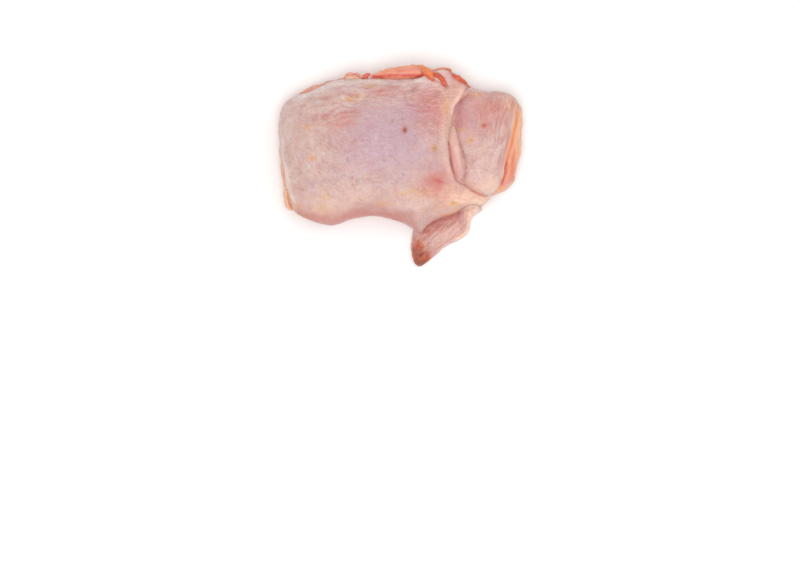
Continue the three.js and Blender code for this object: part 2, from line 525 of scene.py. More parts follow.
def domed(form: Form, detail: Detail, under: Callable[[Array, Array], Array]) -> Surface:
    """A soft form that lies on the table.

    The top is a grid in concentric squares, each bent to the outline's shape: a point keeps its share of the
    way round, and its share of the way out is that of the way from the form's middle to where its softness
    starts. There the top is the form's height. The side turns half a circle. Over it the height falls by
    the cosine, from the top to the waist and on to below the table. The inset is the softness, and below
    the waist the tuck, times one minus the sine. Nothing is lower than what `under` gives.

    Args:
        form: Its outline and top.
        detail: How finely it is divided.
        under: A function of plan places that gives the lowest height there.

    Returns:
        The closed surface, with its faces pointing out. Its mask "side" is 0 on top, and 1 at the tuck and
        under it.
    """
    curve = curve_through(np.array(form.corners, float), closed=True)
    middle = np.array(form.middle, float)
    cells, columns = detail.cells, 4 * detail.cells

    def place(around: Array, inset: Callable[[Array, Array], Array]) -> tuple[Array, Array]:
        """Plan places inward from the outline.

        Args:
            around: Shares of the way round the outline.
            inset: How far in they are, from the softness there and the way to the middle.

        Returns:
            The places on the outline, and the places inward from them.
        """
        edge = along_evenly(curve, np.mod(around, 1), axes=2)
        inward = middle - edge[:, :2]
        reach = np.linalg.norm(inward, axis=1)
        insets = inset(edge[:, 2], reach)
        return edge[:, :2], edge[:, :2] + inward * (insets / reach)[:, None]

    around, out = concentric(cells)
    _, spot = place(around, lambda soft, reach: reach + (soft - reach) * out)
    top = np.column_stack([spot, form.height(spot[:, 0], spot[:, 1])])

    ring = np.arange(columns) / columns
    rings, sides = [], []
    for share in np.arange(1, detail.side + 1) / detail.side:
        turn = math.pi * share
        over = turn <= math.pi / 2
        shrink = 1 - full(np.sin(turn), form.fullness)
        edge, spot = place(ring, lambda soft, reach: (soft if over else form.tuck) * shrink)
        tall = form.height(*(spot if over else edge).T)
        waist = WAIST_SHARE * tall
        rise = (tall if over else 2 * waist + SUNK) - waist
        rings.append(np.column_stack([spot, waist + rise * full(np.cos(turn), form.fullness)]))
        sides.append(np.full(columns, share))
    for share in np.arange(1, detail.base) / detail.base:
        _, spot = place(ring, lambda soft, reach: form.tuck + (reach - form.tuck) * share)
        rings.append(np.column_stack([spot, np.full(columns, -SUNK)]))
        sides.append(np.ones(columns))
    points = np.vstack([top, *rings, [[*middle, -SUNK]]])
    floor = under(points[:, 0], points[:, 1])
    drop = points[:, 2] - floor
    # Near the floor the drop becomes the mean of itself and the square root of its square plus that of 0.6
    points[:, 2] = np.where(drop > 3, points[:, 2], floor + (drop + np.sqrt(drop**2 + 0.36)) / 2)

    grid = np.arange((cells + 1) ** 2).reshape(cells + 1, cells + 1)
    squares = np.stack([grid[:-1, :-1], grid[1:, :-1], grid[1:, 1:], grid[:-1, 1:]], -1).reshape(-1, 4)
    rim = np.concatenate([grid[-1, :-1], grid[:0:-1, -1], grid[0, :0:-1], grid[:-1, 0]])
    first = len(top)
    loops = np.vstack([rim, first + np.arange(len(rings) * columns).reshape(-1, columns)])
    ahead = np.roll(loops, -1, axis=1)
    bands = np.stack([loops[:-1], loops[1:], ahead[1:], ahead[:-1]], -1).reshape(-1, 4)
    last = np.full(columns, len(points) - 1)
    cap = np.stack([loops[-1], last, ahead[-1]], -1)
    side = np.concatenate([np.zeros(first), *sides, [1.0]])
    return Surface(points, np.vstack([squares, bands]), cap, {"side": side})


@dataclass(frozen=True)
class Strand:
    """A strand of flesh, fat or skin along a curve, with an oval section."""

    along: tuple[Corner, ...]
    wide: float
    deep: float
    ends: float = 3.0  # 2 gives elliptical ends, more gives blunter ones
    lean: float = 1.0  # above 1 puts the thickest place nearer the far end
    twist: float = 0.0  # how many degrees the section turns on the way
    ragged: float = 0.0  # how much its width varies, as a share
    rings: int = 60
    steps: int = 28

    RAG = 2.2  # how far apart its ragged places are

    def surface(self, noise: Noise) -> Surface:
        """Carries the oval along the curve.

        The half sizes at a share s of the way are wide and deep times the square root of
        1 - |2 s^lean - 1|^ends, and the section turns evenly by the twist.

        Args:
            noise: The field that makes its edge ragged.

        Returns:
            The closed surface. Its mask "run" is the share of the way along it.
        """
        shares = np.linspace(0, 1, self.rings + 2)[1:-1]
        curve = curve_through(np.array(self.along, float), closed=False)
        centre = along_evenly(curve, shares)
        ahead = along_evenly(curve, np.minimum(shares + 0.01, 1))
        tangent = ahead - along_evenly(curve, np.maximum(shares - 0.01, 0))
        tangent /= np.linalg.norm(tangent, axis=1, keepdims=True)
        sideways = np.cross(tangent, [0, 0, 1])
        sideways /= np.linalg.norm(sideways, axis=1, keepdims=True)
        upwards = np.cross(sideways, tangent)
        taper = np.sqrt(1 - np.abs(2 * shares**self.lean - 1) ** self.ends)
        edge = 1 + self.ragged * 2 * noise.layered(centre / self.RAG, 2)
        angle = np.linspace(0, 2 * math.pi, self.steps, endpoint=False)
        turn = np.radians(self.twist) * shares
        u = (self.wide * taper * edge)[:, None] * np.cos(angle)
        v = (self.deep * taper)[:, None] * np.sin(angle)
        across = u * np.cos(turn)[:, None] - v * np.sin(turn)[:, None]
        above = u * np.sin(turn)[:, None] + v * np.cos(turn)[:, None]
        shell = centre[:, None] + sideways[:, None] * across[..., None] + upwards[:, None] * above[..., None]
        points = np.vstack([shell.reshape(-1, 3), curve[:1], curve[-1:]])
        loops = np.arange(self.rings * self.steps).reshape(self.rings, self.steps)
        beyond = np.roll(loops, -1, axis=1)
        quads = np.stack([loops[:-1], beyond[:-1], beyond[1:], loops[1:]], -1).reshape(-1, 4)
        start, end = np.full(self.steps, len(points) - 2), np.full(self.steps, len(points) - 1)
        first_cap = np.stack([start, beyond[0], loops[0]], -1)
        last_cap = np.stack([end, loops[-1], beyond[-1]], -1)
        run = np.concatenate([np.repeat(shares, self.steps), [0, 1]])
        return Surface(points, quads, np.vstack([first_cap, last_cap]), {"run": run})


@dataclass(frozen=True)
class Patch:
    """A tinted place. Stains, painted shade and painted highlights are all such patches."""

    tint: Tint
    at: Point
    reach: Point
    strength: float = 1.0
    turn: float = 0.0

    def share(self, x: Array, y: Array) -> Array:
        """How strong the stain is at plan points."""
        return self.strength * bell(x, y, self.at, self.reach, self.turn)

    def pull(self) -> float:
        """How much of the random warp a stain of this size takes."""
        return min(1.0, min(self.reach) / WARP_SIZE)


@dataclass(frozen=True)
class Streak:
    """A tinted line. Stained lines, painted shade in creases and painted highlights along rims are all such
    streaks.
    """

    tint: Tint
    along: tuple[Point, ...]
    width: float
    strength: float = 1.0

    def share(self, x: Array, y: Array) -> Array:
        """How strong the stain is at plan points."""
        return Crest(self.along, self.strength, self.width).height(x, y)

    def pull(self) -> float:
        """How much of the random warp a line of this width takes."""
        return min(1.0, self.width / WARP_SIZE)


def stained(stains: tuple[Patch | Streak, ...], points: Array, noise: Noise) -> dict[str, Array]:
    """The strength of each tint.

    Args:
        stains: The patches and streaks.
        points: The places, one a row.
        noise: The random field that warps the stains' shapes.

    Returns:
        By tint, its patches and streaks added up, after a random warp of the place of up to some 3 mm.
    """
    warp = np.stack([noise.layered(points / WARP_SIZE + shift, 3) for shift in (0, 11)], -1) * WARP
    masks = {tint.value: np.zeros(len(points)) for tint in Tint}
    for stain in stains:
        x, y = (points[:, :2] + stain.pull() * warp).T
        masks[stain.tint.value] += stain.share(x, y)
    return {name: np.clip(values, 0, 1) for name, values in masks.items()}


@dataclass(frozen=True)
class Wrinkles:
    """Fine folds over one place."""

    at: Point
    reach: Point
    run: float  # the way they run, in degrees from X
    apart: float
    length: float
    depth: float
    turn: float = 0.0  # how far the place's own axes are turned
    wander: float = 1.5  # how far they stray from a straight way

    STEEP = 2.4  # the more, the narrower the grooves
    SWING = 9.0  # how far apart their strayings are
    LEVEL = 1.6  # how far past 1 the bell is raised before it is cut off there, for an even middle

    def height(self, points: Array, noise: Noise) -> Array:
        """Rounded ridges between narrow grooves.

        Args:
            points: The places, one a row.
            noise: The random field that they follow.

        Returns:
            The place's bell times the depth times the ridges of noise, which is stretched by the folds'
            length along their run and by their spacing across it.
        """
        x, y, z = points.T
        place = np.minimum(1, self.LEVEL * bell(x, y, self.at, self.reach, self.turn))
        angle = math.radians(self.run)
        forth = (x * math.cos(angle) + y * math.sin(angle)) / self.length
        across = (y * math.cos(angle) - x * math.sin(angle)) / self.apart
        wander = noise.waves(points / self.SWING) * self.wander
        fold = noise.layered(np.stack([forth, across + wander, z / (2 * self.apart)], -1), 2)
        return place * self.depth * ridges(fold, self.STEEP)


def srgb(red: int, green: int, blue: int) -> Color:
    """A screen colour as a shader's socket takes it.

    Args:
        red: Its red, 0 to 255.
        green: Its green.
        blue: Its blue.

    Returns:
        The linear colour, with an alpha of 1.
    """
    shares = (value / 255 for value in (red, green, blue))
    linear = [s / 12.92 if s <= 0.04045 else ((s + 0.055) / 1.055) ** 2.4 for s in shares]
    return (*linear, 1.0)


class Tree:
    """Adds nodes to a material's or a group's tree."""

    def __init__(self, tree: bpy.types.NodeTree) -> None:
        """Empties the tree and works on it."""
        self.tree = tree
        tree.nodes.clear()

    def add(
        self, kind: str, inputs: dict[str | int, Given] | None = None, **settings: object
    ) -> bpy.types.Node:
        """Adds a node.

        Args:
            kind: The node's type, without its ShaderNode prefix.
            inputs: What each input takes, by its name or number: a value, or an output to link.
            settings: The node's own properties, which are set before its inputs.

        Returns:
            The node.
        """
        prefix = "" if kind.startswith("NodeGroup") else "ShaderNode"
        node = self.tree.nodes.new(prefix + kind)
        for name, value in settings.items():
            setattr(node, name, value)
        for name, value in (inputs or {}).items():
            if isinstance(value, Socket):
                self.tree.links.new(value, node.inputs[name])
            else:
                node.inputs[name].default_value = value
        return node

    def math(self, operation: str, first: Given, second: Given = 0.0, third: Given = 0.0) -> Socket:
        """The output of a maths node with these inputs."""
        return self.add("Math", {0: first, 1: second, 2: third}, operation=operation).outputs[0]

    def vector(self, operation: str, first: Given, second: Given) -> Socket:
        """The output of a vector maths node with these inputs."""
        return self.add("VectorMath", {0: first, 1: second}, operation=operation).outputs[0]

    def noise(self, place: Socket, scale: Given, detail: float) -> bpy.types.Node:
        """A noise node."""
        return self.add("TexNoise", {"Vector": place, "Scale": scale, "Detail": detail})

    def ramp(self, value: Given, low: float, high: float, start: float = 0.0, end: float = 1.0) -> Socket:
        """The value taken smoothly from low..high to start..end."""
        inputs = {"Value": value, "From Min": low, "From Max": high, "To Min": start, "To Max": end}
        return self.add("MapRange", inputs, interpolation_type="SMOOTHSTEP").outputs[0]

    def blend(self, share: Given, first: Given, second: Given) -> Socket:
        """Two colours mixed by a share."""
        return self.add("Mix", {0: share, 6: first, 7: second}, data_type="RGBA").outputs[2]

    def tinted(self, share: Socket, amount: float, first: Given, second: Given) -> Socket:
        """Two colours mixed by an amount of a share."""
        return self.blend(self.math("MULTIPLY", share, amount), first, second)

    def mask(self, tint: Tint) -> Socket:
        """How strong a tint is at the mesh's points."""
        return self.add("Attribute", attribute_name=tint.value).outputs["Fac"]

    def group(self, group: bpy.types.NodeTree, inputs: dict[str, Given]) -> bpy.types.Node:
        """Places a node group."""
        return self.add("Group", inputs, node_tree=group)


def new_group(name: str, inputs: dict[str, str], outputs: dict[str, str]) -> tuple[Tree, bpy.types.Node]:
    """A node group with its sockets.

    Args:
        name: The group's name.
        inputs: The kind of each input, by name: Float, Vector or Color.
        outputs: The kind of each output, by name.

    Returns:
        The group's tree, and its input node.
    """
    group = bpy.data.node_groups.new(name, "ShaderNodeTree")
    for in_out, sockets in (("INPUT", inputs), ("OUTPUT", outputs)):
        for socket, kind in sockets.items():
            group.interface.new_socket(socket, in_out=in_out, socket_type=f"NodeSocket{kind}")
    tree = Tree(group)
    return tree, tree.add("NodeGroupInput")


class Effects:
    """The node groups that the finishes are made from."""

    def __init__(self) -> None:
        """Builds each group once."""
        self.mottle = self.make_mottle()
        self.pores = self.make_pores()
        self.marks = self.make_marks()
        self.fibres = self.make_fibres()
        self.stain = self.make_stain()

    def make_mottle(self) -> bpy.types.NodeTree:
        """Soft cloudy patches.

        Returns:
            The group: noise of a given size in millimetres, stretched to 0..1.
        """
        tree, given = new_group("Mottle", {"Place": "Vector", "Size": "Float"}, {"Share": "Float"})
        scale = tree.math("DIVIDE", 1.0, given.outputs["Size"])
        noise = tree.noise(given.outputs["Place"], scale, 2.5)
        tree.add("NodeGroupOutput", {"Share": tree.ramp(noise.outputs[0], 0.34, 0.66)})
        return tree.tree

    def make_pores(self) -> bpy.types.NodeTree:
        """Follicles and the fine net of creases between them.

        Returns:
            The group: the height of cells with a pit in each, and the net of their borders, by their spacing.
        """
        inputs = {"Place": "Vector", "Spacing": "Float"}
        tree, given = new_group("Pores", inputs, {"Height": "Float", "Net": "Float"})
        warp = tree.noise(given.outputs["Place"], 0.9, 2.0).outputs[1]
        place = tree.vector("ADD", given.outputs["Place"], tree.vector("MULTIPLY", warp, (0.9, 0.9, 0.9)))
        scale = tree.math("DIVIDE", 1.0, given.outputs["Spacing"])
        edge = tree.add("TexVoronoi", {"Vector": place, "Scale": scale}, feature="DISTANCE_TO_EDGE")
        spot = tree.add("TexVoronoi", {"Vector": place, "Scale": scale})
        net = tree.ramp(edge.outputs["Distance"], 0.0, 0.16)
        pit = tree.ramp(spot.outputs["Distance"], 0.05, 0.28, 1.0, 0.0)
        height = tree.math("MULTIPLY_ADD", pit, -0.6, tree.math("MULTIPLY", net, 0.6))
        tree.add("NodeGroupOutput", {"Height": height, "Net": tree.math("SUBTRACT", 1.0, net)})
        return tree.tree

    def make_marks(self) -> bpy.types.NodeTree:
        """Sparse short marks where feathers were.

        Returns:
            The group: long cells, 2.5 mm by 5 mm, of which a random third or so carry a spot.
        """
        tree, given = new_group("Marks", {"Place": "Vector"}, {"Share": "Float"})
        turned = tree.add("Mapping", {"Vector": given.outputs["Place"], "Rotation": (0, 0, -0.8)}).outputs[0]
        cell = tree.add("TexVoronoi", {"Vector": tree.vector("MULTIPLY", turned, (1, 0.5, 1)), "Scale": 0.4})
        chosen = tree.add("SeparateColor", {0: cell.outputs["Color"]}).outputs[0]
        spot = tree.ramp(cell.outputs["Distance"], 0.0, 0.36, 1.0, 0.0)
        tree.add("NodeGroupOutput", {"Share": tree.math("MULTIPLY", spot, tree.ramp(chosen, 0.45, 0.85))})
        return tree.tree

    def make_fibres(self) -> bpy.types.NodeTree:
        """Fibres that run along X.

        Returns:
            The group: noise stretched 14 times along X, by how far apart the fibres are.
        """
        tree, given = new_group("Fibres", {"Place": "Vector", "Apart": "Float"}, {"Share": "Float"})
        squeezed = tree.vector("MULTIPLY", given.outputs["Place"], (0.07, 1, 1))
        noise = tree.noise(squeezed, tree.math("DIVIDE", 1.0, given.outputs["Apart"]), 3.0)
        tree.add("NodeGroupOutput", {"Share": tree.ramp(noise.outputs[0], 0.3, 0.7)})
        return tree.tree

    def make_stain(self) -> bpy.types.NodeTree:
        """A colour over another where a mask is, for stains, painted shade and painted highlights alike.

        Returns:
            The group: the two colours mixed by the mask, which noise breaks up at its edge.
        """
        inputs = {"Under": "Color", "Over": "Color", "Mask": "Float", "Place": "Vector", "Break": "Float"}
        tree, given = new_group("TintLayer", inputs, {"Color": "Color"})
        noise = tree.noise(given.outputs["Place"], 0.55, 5.0)
        swing = tree.math("MULTIPLY", tree.math("SUBTRACT", noise.outputs[0], 0.5), given.outputs["Break"])
        uneven = tree.math("MULTIPLY", given.outputs["Mask"], tree.math("ADD", swing, 1.0))
        share = tree.add("Clamp", {"Value": uneven}).outputs[0]
        color = tree.blend(share, given.outputs["Under"], given.outputs["Over"])
        tree.add("NodeGroupOutput", {"Color": color})
        return tree.tree

    def stains(self, tree: Tree, color: Socket, place: Socket, tints: tuple[TintColor, ...]) -> Socket:
        """The colour with each tint over it where its mask is.

        Args:
            tree: The material's tree.
            color: The colour under the tints.
            place: The place on the piece, in millimetres.
            tints: Rows of a tint, its colour and how broken up its edge is.

        Returns:
            The colour.
        """
        for tint, over, broken in tints:
            inputs = {"Under": color, "Over": over, "Mask": tree.mask(tint), "Place": place, "Break": broken}
            color = tree.group(self.stain, inputs).outputs[0]
        return color


def millimetres(tree: Tree) -> Socket:
    """The place on the piece, in millimetres."""
    place = tree.add("TexCoord").outputs["Object"]
    return tree.add("VectorMath", {0: place, "Scale": 1 / MM}, operation="SCALE").outputs[0]


@dataclass(frozen=True)
class Finish:
    """What the two raw, moist finishes share: a colour with stains, painted shade and painted highlights over
    it, under a thin wet coat.
    """

    name: str
    tints: tuple[TintColor, ...]
    roughness: float
    rougher: float  # how much rougher than that it gets in places
    scatter_tint: Corner  # how far red, green and blue light spread below the surface, as shares of the reach
    scatter_reach: float  # in metres
    coat: float
    coat_roughness: float
    relief: float  # its bump's height

    SMOOTHER = 0.08  # how much smoother than its roughness a finish gets in places
    IOR = 1.4  # a little above water's
    SCATTER = 0.4  # the share of the light that spreads below the surface
    BUMP = 0.8  # how strong the bump is

    def look(self, tree: Tree, place: Socket, effects: Effects) -> tuple[Socket, Socket, Socket]:
        """The colour, the share by which it is rougher and the height. Each finish has its own."""
        raise NotImplementedError

    def make(self, effects: Effects) -> bpy.types.Material:
        """Builds the material.

        Args:
            effects: The shared node groups.

        Returns:
            The material.
        """
        material = bpy.data.materials.new(self.name)
        material.use_nodes = True
        tree = Tree(material.node_tree)
        color, uneven, height = self.look(tree, millimetres(tree), effects)
        low, high = self.roughness - self.SMOOTHER, self.roughness + self.rougher
        bump = tree.add("Bump", {"Height": height, "Strength": self.BUMP, "Distance": self.relief * MM})
        wet = {
            "Base Color": color,
            "Roughness": tree.ramp(uneven, 0.0, 1.0, low, high),
            "IOR": self.IOR,
            "Subsurface Weight": self.SCATTER,
            "Subsurface Radius": self.scatter_tint,
            "Subsurface Scale": self.scatter_reach,
            "Coat Weight": self.coat,
            "Coat Roughness": self.coat_roughness,
            "Normal": bump.outputs[0],
        }
        tree.add("OutputMaterial", {"Surface": tree.add("BsdfPrincipled", wet).outputs[0]})
        return material


@dataclass(frozen=True)
class SkinFinish(Finish):
    """Raw chicken skin: pale, moist and finely pored, with stains where meat or fat shows through, painted
    shade in its creases and painted highlights on its rims.
    """

    name: str = "raw_skin"
    plain: Color = srgb(214, 189, 184)
    pink: Color = srgb(199, 163, 161)
    beige: Color = srgb(214, 178, 160)
    pale: Color = srgb(230, 214, 209)
    # the colour of the painted shade in the net of creases round the follicles, which the darker speckles
    # share
    crease_shade: Color = srgb(176, 122, 112)
    mark: Color = srgb(172, 134, 134)
    tints: tuple[TintColor, ...] = (
        (Tint.LAVENDER, srgb(194, 163, 176), 0.9),
        # pale patches, and painted highlights and painted light
        (Tint.PALE_AND_HIGHLIGHT, srgb(236, 222, 218), 0.8),
        (Tint.ROSE, srgb(212, 142, 134), 1.0),
        (Tint.CREAM, srgb(246, 210, 188), 0.9),
        (Tint.BLOOD, srgb(206, 78, 66), 0.9),
        (Tint.STRAW, srgb(226, 176, 112), 1.3),
        (Tint.RUST, srgb(184, 76, 14), 1.2),
        (Tint.FRECKLE, srgb(120, 44, 8), 0.8),
        # painted shade, reddish like flesh seen in a gap
        (Tint.CREASE, srgb(184, 108, 98), 0.8),
    )
    roughness: float = 0.42
    rougher: float = 0.1
    scatter_tint: Corner = (1.0, 0.42, 0.26)
    scatter_reach: float = 0.002
    coat: float = 0.25
    coat_roughness: float = 0.22
    relief: float = 0.1
    pore_spacing: float = 1.7
    broad_size: float = 8.0
    warm_size: float = 5.0
    light_size: float = 3.6
    fine_size: float = 1.3
    speckle_size: float = 0.9

    def look(self, tree: Tree, place: Socket, effects: Effects) -> tuple[Socket, Socket, Socket]:
        """Pink, beige and pale clouds, the stains, and over them speckles, pores with painted shade in the
        net of creases between them, and feather marks.

        Args:
            tree: The material's tree.
            place: The place on the piece, in millimetres.
            effects: The shared node groups.

        Returns:
            The colour, the share by which it is rougher, and the height.
        """
        shifted = tree.vector("ADD", place, (31, 17, 5))
        broad, warm, light, fine, speckle = (
            tree.group(effects.mottle, {"Place": spot, "Size": size}).outputs[0]
            for spot, size in (
                (place, self.broad_size), (shifted, self.warm_size), (place, self.light_size),
                (shifted, self.fine_size), (place, self.speckle_size),
            )
        )
        pores = tree.group(effects.pores, {"Place": place, "Spacing": self.pore_spacing})
        both = tree.math("MULTIPLY_ADD", broad, 0.6, tree.math("MULTIPLY", fine, 0.4))
        color = tree.blend(both, self.plain, self.pink)
        color = tree.tinted(warm, 0.7, color, self.beige)
        color = tree.tinted(light, 0.34, color, self.pale)
        color = effects.stains(tree, color, place, self.tints)
        meaty = tree.math("MULTIPLY_ADD", tree.mask(Tint.CREAM), -0.75, 1.0)
        net = tree.math("MULTIPLY", tree.math("MULTIPLY", pores.outputs["Net"], meaty), broad)
        marks = tree.math("MULTIPLY", tree.group(effects.marks, {"Place": place}).outputs[0], meaty)
        color = tree.tinted(tree.math("MULTIPLY", speckle, meaty), 0.2, color, self.crease_shade)
        # painted shade in the net of creases between the follicles
        color = tree.tinted(net, 0.2, color, self.crease_shade)
        color = tree.tinted(marks, 0.6, color, self.mark)
        grain = tree.noise(place, 2.6, 4.0).outputs[0]
        height = tree.math("MULTIPLY_ADD", grain, 0.5, pores.outputs["Height"])
        return color, fine, tree.math("MULTIPLY_ADD", marks, -0.8, height)


@dataclass(frozen=True)
class FleshFinish(Finish):
    """Raw meat: wet and fibrous, with pale membrane and fat over it and painted shade, dark red, in the
    hollows between its fibres.
    """

    name: str = "raw_flesh"
    meat: Color = srgb(222, 134, 112)
    dark: Color = srgb(190, 84, 68)
    sinew: Color = srgb(238, 186, 164)
    tints: tuple[TintColor, ...] = (
        (Tint.ROSE, srgb(222, 106, 92), 0.9),
        (Tint.CREAM, srgb(238, 206, 188), 0.8),
        (Tint.STRAW, srgb(243, 186, 140), 1.0),
        (Tint.RUST, srgb(222, 118, 58), 1.0),
        (Tint.BLOOD, srgb(204, 66, 46), 1.0),
        (Tint.PALE_AND_HIGHLIGHT, srgb(244, 222, 208), 0.8),
    )
    roughness: float = 0.36
    rougher: float = 0.08
    scatter_tint: Corner = (1.0, 0.35, 0.22)
    scatter_reach: float = 0.0024
    coat: float = 0.4
    coat_roughness: float = 0.15
    relief: float = 0.25
    fibres_apart: float = 0.9
    cloud_size: float = 5.0

    def look(self, tree: Tree, place: Socket, effects: Effects) -> tuple[Socket, Socket, Socket]:
        """Dark clouds and pale fibres in the meat, the stains, and painted shade between the fibres.

        Args:
            tree: The material's tree.
            place: The place on the piece, in millimetres.
            effects: The shared node groups.

        Returns:
            The colour, the share by which it is rougher, and the height.
        """
        grain = tree.add("Attribute", attribute_name=GRAIN).outputs["Vector"]
        fibres = tree.group(effects.fibres, {"Place": grain, "Apart": self.fibres_apart}).outputs[0]
        cloud = tree.group(effects.mottle, {"Place": place, "Size": self.cloud_size}).outputs[0]
        color = tree.tinted(cloud, 0.35, self.meat, self.dark)
        color = tree.tinted(fibres, 0.6, color, self.sinew)
        color = effects.stains(tree, color, place, self.tints)
        # painted shade in the grooves between the fibres, where the height is low
        color = tree.blend(tree.ramp(fibres, 0.35, 0.0, 0.0, 0.3), color, self.dark)
        return color, fibres, tree.math("MULTIPLY_ADD", cloud, 0.5, fibres)


def piece_from(surface: Surface, name: str, material: bpy.types.Material) -> bpy.types.Object:
    """Makes a surface a piece of the thigh.

    Args:
        surface: Its points, faces and masks.
        name: The piece's name.
        material: Its finish.

    Returns:
        The object, at the origin, riding on the body and standing for the solid.
    """
    mesh = bpy.data.meshes.new(name)
    places = (surface.points - PLAN_MIDDLE) * MM
    mesh.vertices.add(len(places))
    mesh.vertices.foreach_set("co", places.astype(np.float32).ravel())
    corners = np.concatenate([surface.quads.ravel(), surface.triangles.ravel()])
    sizes = np.concatenate([np.full(len(surface.quads), 4), np.full(len(surface.triangles), 3)])
    mesh.loops.add(len(corners))
    mesh.loops.foreach_set("vertex_index", corners.astype(np.int32))
    mesh.polygons.add(len(sizes))
    mesh.polygons.foreach_set("loop_start", np.concatenate([[0], np.cumsum(sizes)[:-1]]).astype(np.int32))
    mesh.update(calc_edges=True)
    mesh.validate()
    mesh.shade_smooth()
    for mask, values in surface.masks.items():
        kind, item = ("FLOAT_VECTOR", "vector") if values.ndim == 2 else ("FLOAT", "value")
        attribute = mesh.attributes.new(mask, kind, "POINT")
        attribute.data.foreach_set(item, values.astype(np.float32).ravel())
    mesh.materials.append(material)
    piece = bpy.data.objects.new(name, mesh)
    bpy.context.scene.collection.objects.link(piece)
    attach(piece, BODY)
    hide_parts(NODE)
    LOG.info("%s: %d points, %d faces", name, len(places), len(sizes))
    return piece


@dataclass
class SkinPiece:
    """A domed piece of skin with the meat inside it. The three are below, with their forms and marks."""

    name: str
    form: Form
    detail: Detail
    wrinkles: tuple[Wrinkles, ...] = ()
    goosebumps: tuple[tuple[Point, Point, float], ...] = ()
    stains: tuple[Patch | Streak, ...] = ()
    hemmed: bool = True  # whether the skin ends underneath, and not at its outline

    LUMPS = ((15.0, 0.5), (5.0, 0.22))  # the size and strength of the skin's soft lumps
    CELL = 2.1  # the distance between follicles
    MOUND = 0.08  # how far the skin swells between the creases round a follicle
    CREASED = 0.4  # how wide those creases are, as a share of that distance
    GOOSEBUMP = 0.34  # half of a goosebump's width, as a share of it
    LEVEL = 1.5  # as for wrinkles, where there are goosebumps
    FOLD_SHADE = 1.6  # how much painted shade darkens a wrinkle's groove for each millimetre of its depth
    DARKEST = 0.6  # how much darker it is at most
    LOW = (0.45, 0.7)  # where on the side the marks start and end to fade
    FADE = 0.85  # how much of them is gone there

    def bumps(self, points: Array, noise: Noise) -> Array:
        """How far the skin stands out.

        Args:
            points: Its points, one a row.
            noise: The random field of its relief.

        Returns:
            Its soft lumps, its follicles and its goosebumps, added up. A goosebump is a bell over a follicle.
        """
        height = sum(rise * noise.layered(points / size, 2) for size, rise in self.LUMPS)
        near, border = noise.cells(points / self.CELL)
        height = height + self.MOUND * smooth(0.0, self.CREASED, border)
        for at, reach, rise in self.goosebumps:
            place = np.minimum(1, self.LEVEL * bell(points[:, 0], points[:, 1], at, reach))
            height = height + rise * place * np.exp(-((near / self.GOOSEBUMP) ** 2))
        return height

    def make(self, noise: Noise, footprint: Footprint, material: bpy.types.Material) -> bpy.types.Object:
        """Builds the piece.

        Args:
            noise: The random field of its relief and stains.
            footprint: Where it meets the table.
            material: Its finish.

        Returns:
            The piece.
        """
        surface = domed(self.form, self.detail, footprint.under_skin if self.hemmed else on_table)
        points = surface.points.copy()
        folds = sum((folds.height(points, noise) for folds in self.wrinkles), np.zeros(len(points)))
        surface.masks.update(stained(self.stains, points, noise))
        above = 1 - self.FADE * smooth(*self.LOW, surface.masks["side"])
        for tint in (Tint.BLOOD, Tint.RUST, Tint.PALE_AND_HIGHLIGHT, Tint.CREASE):
            surface.masks[tint.value] *= above
        # painted shade in the wrinkles' grooves
        surface.deepen(Tint.CREASE, np.clip(-folds * self.FOLD_SHADE, 0, self.DARKEST))
        surface.pushed(self.bumps(points, noise) + folds)
        return piece_from(surface, self.name, material)


def patches(tint: Tint, *rows: tuple[float, ...]) -> tuple[Patch, ...]:
    """Patches of one tint, from rows of x, y, reach along, reach across, strength and turn."""
    return tuple(Patch(tint, row[:2], row[2:4], *row[4:]) for row in rows)


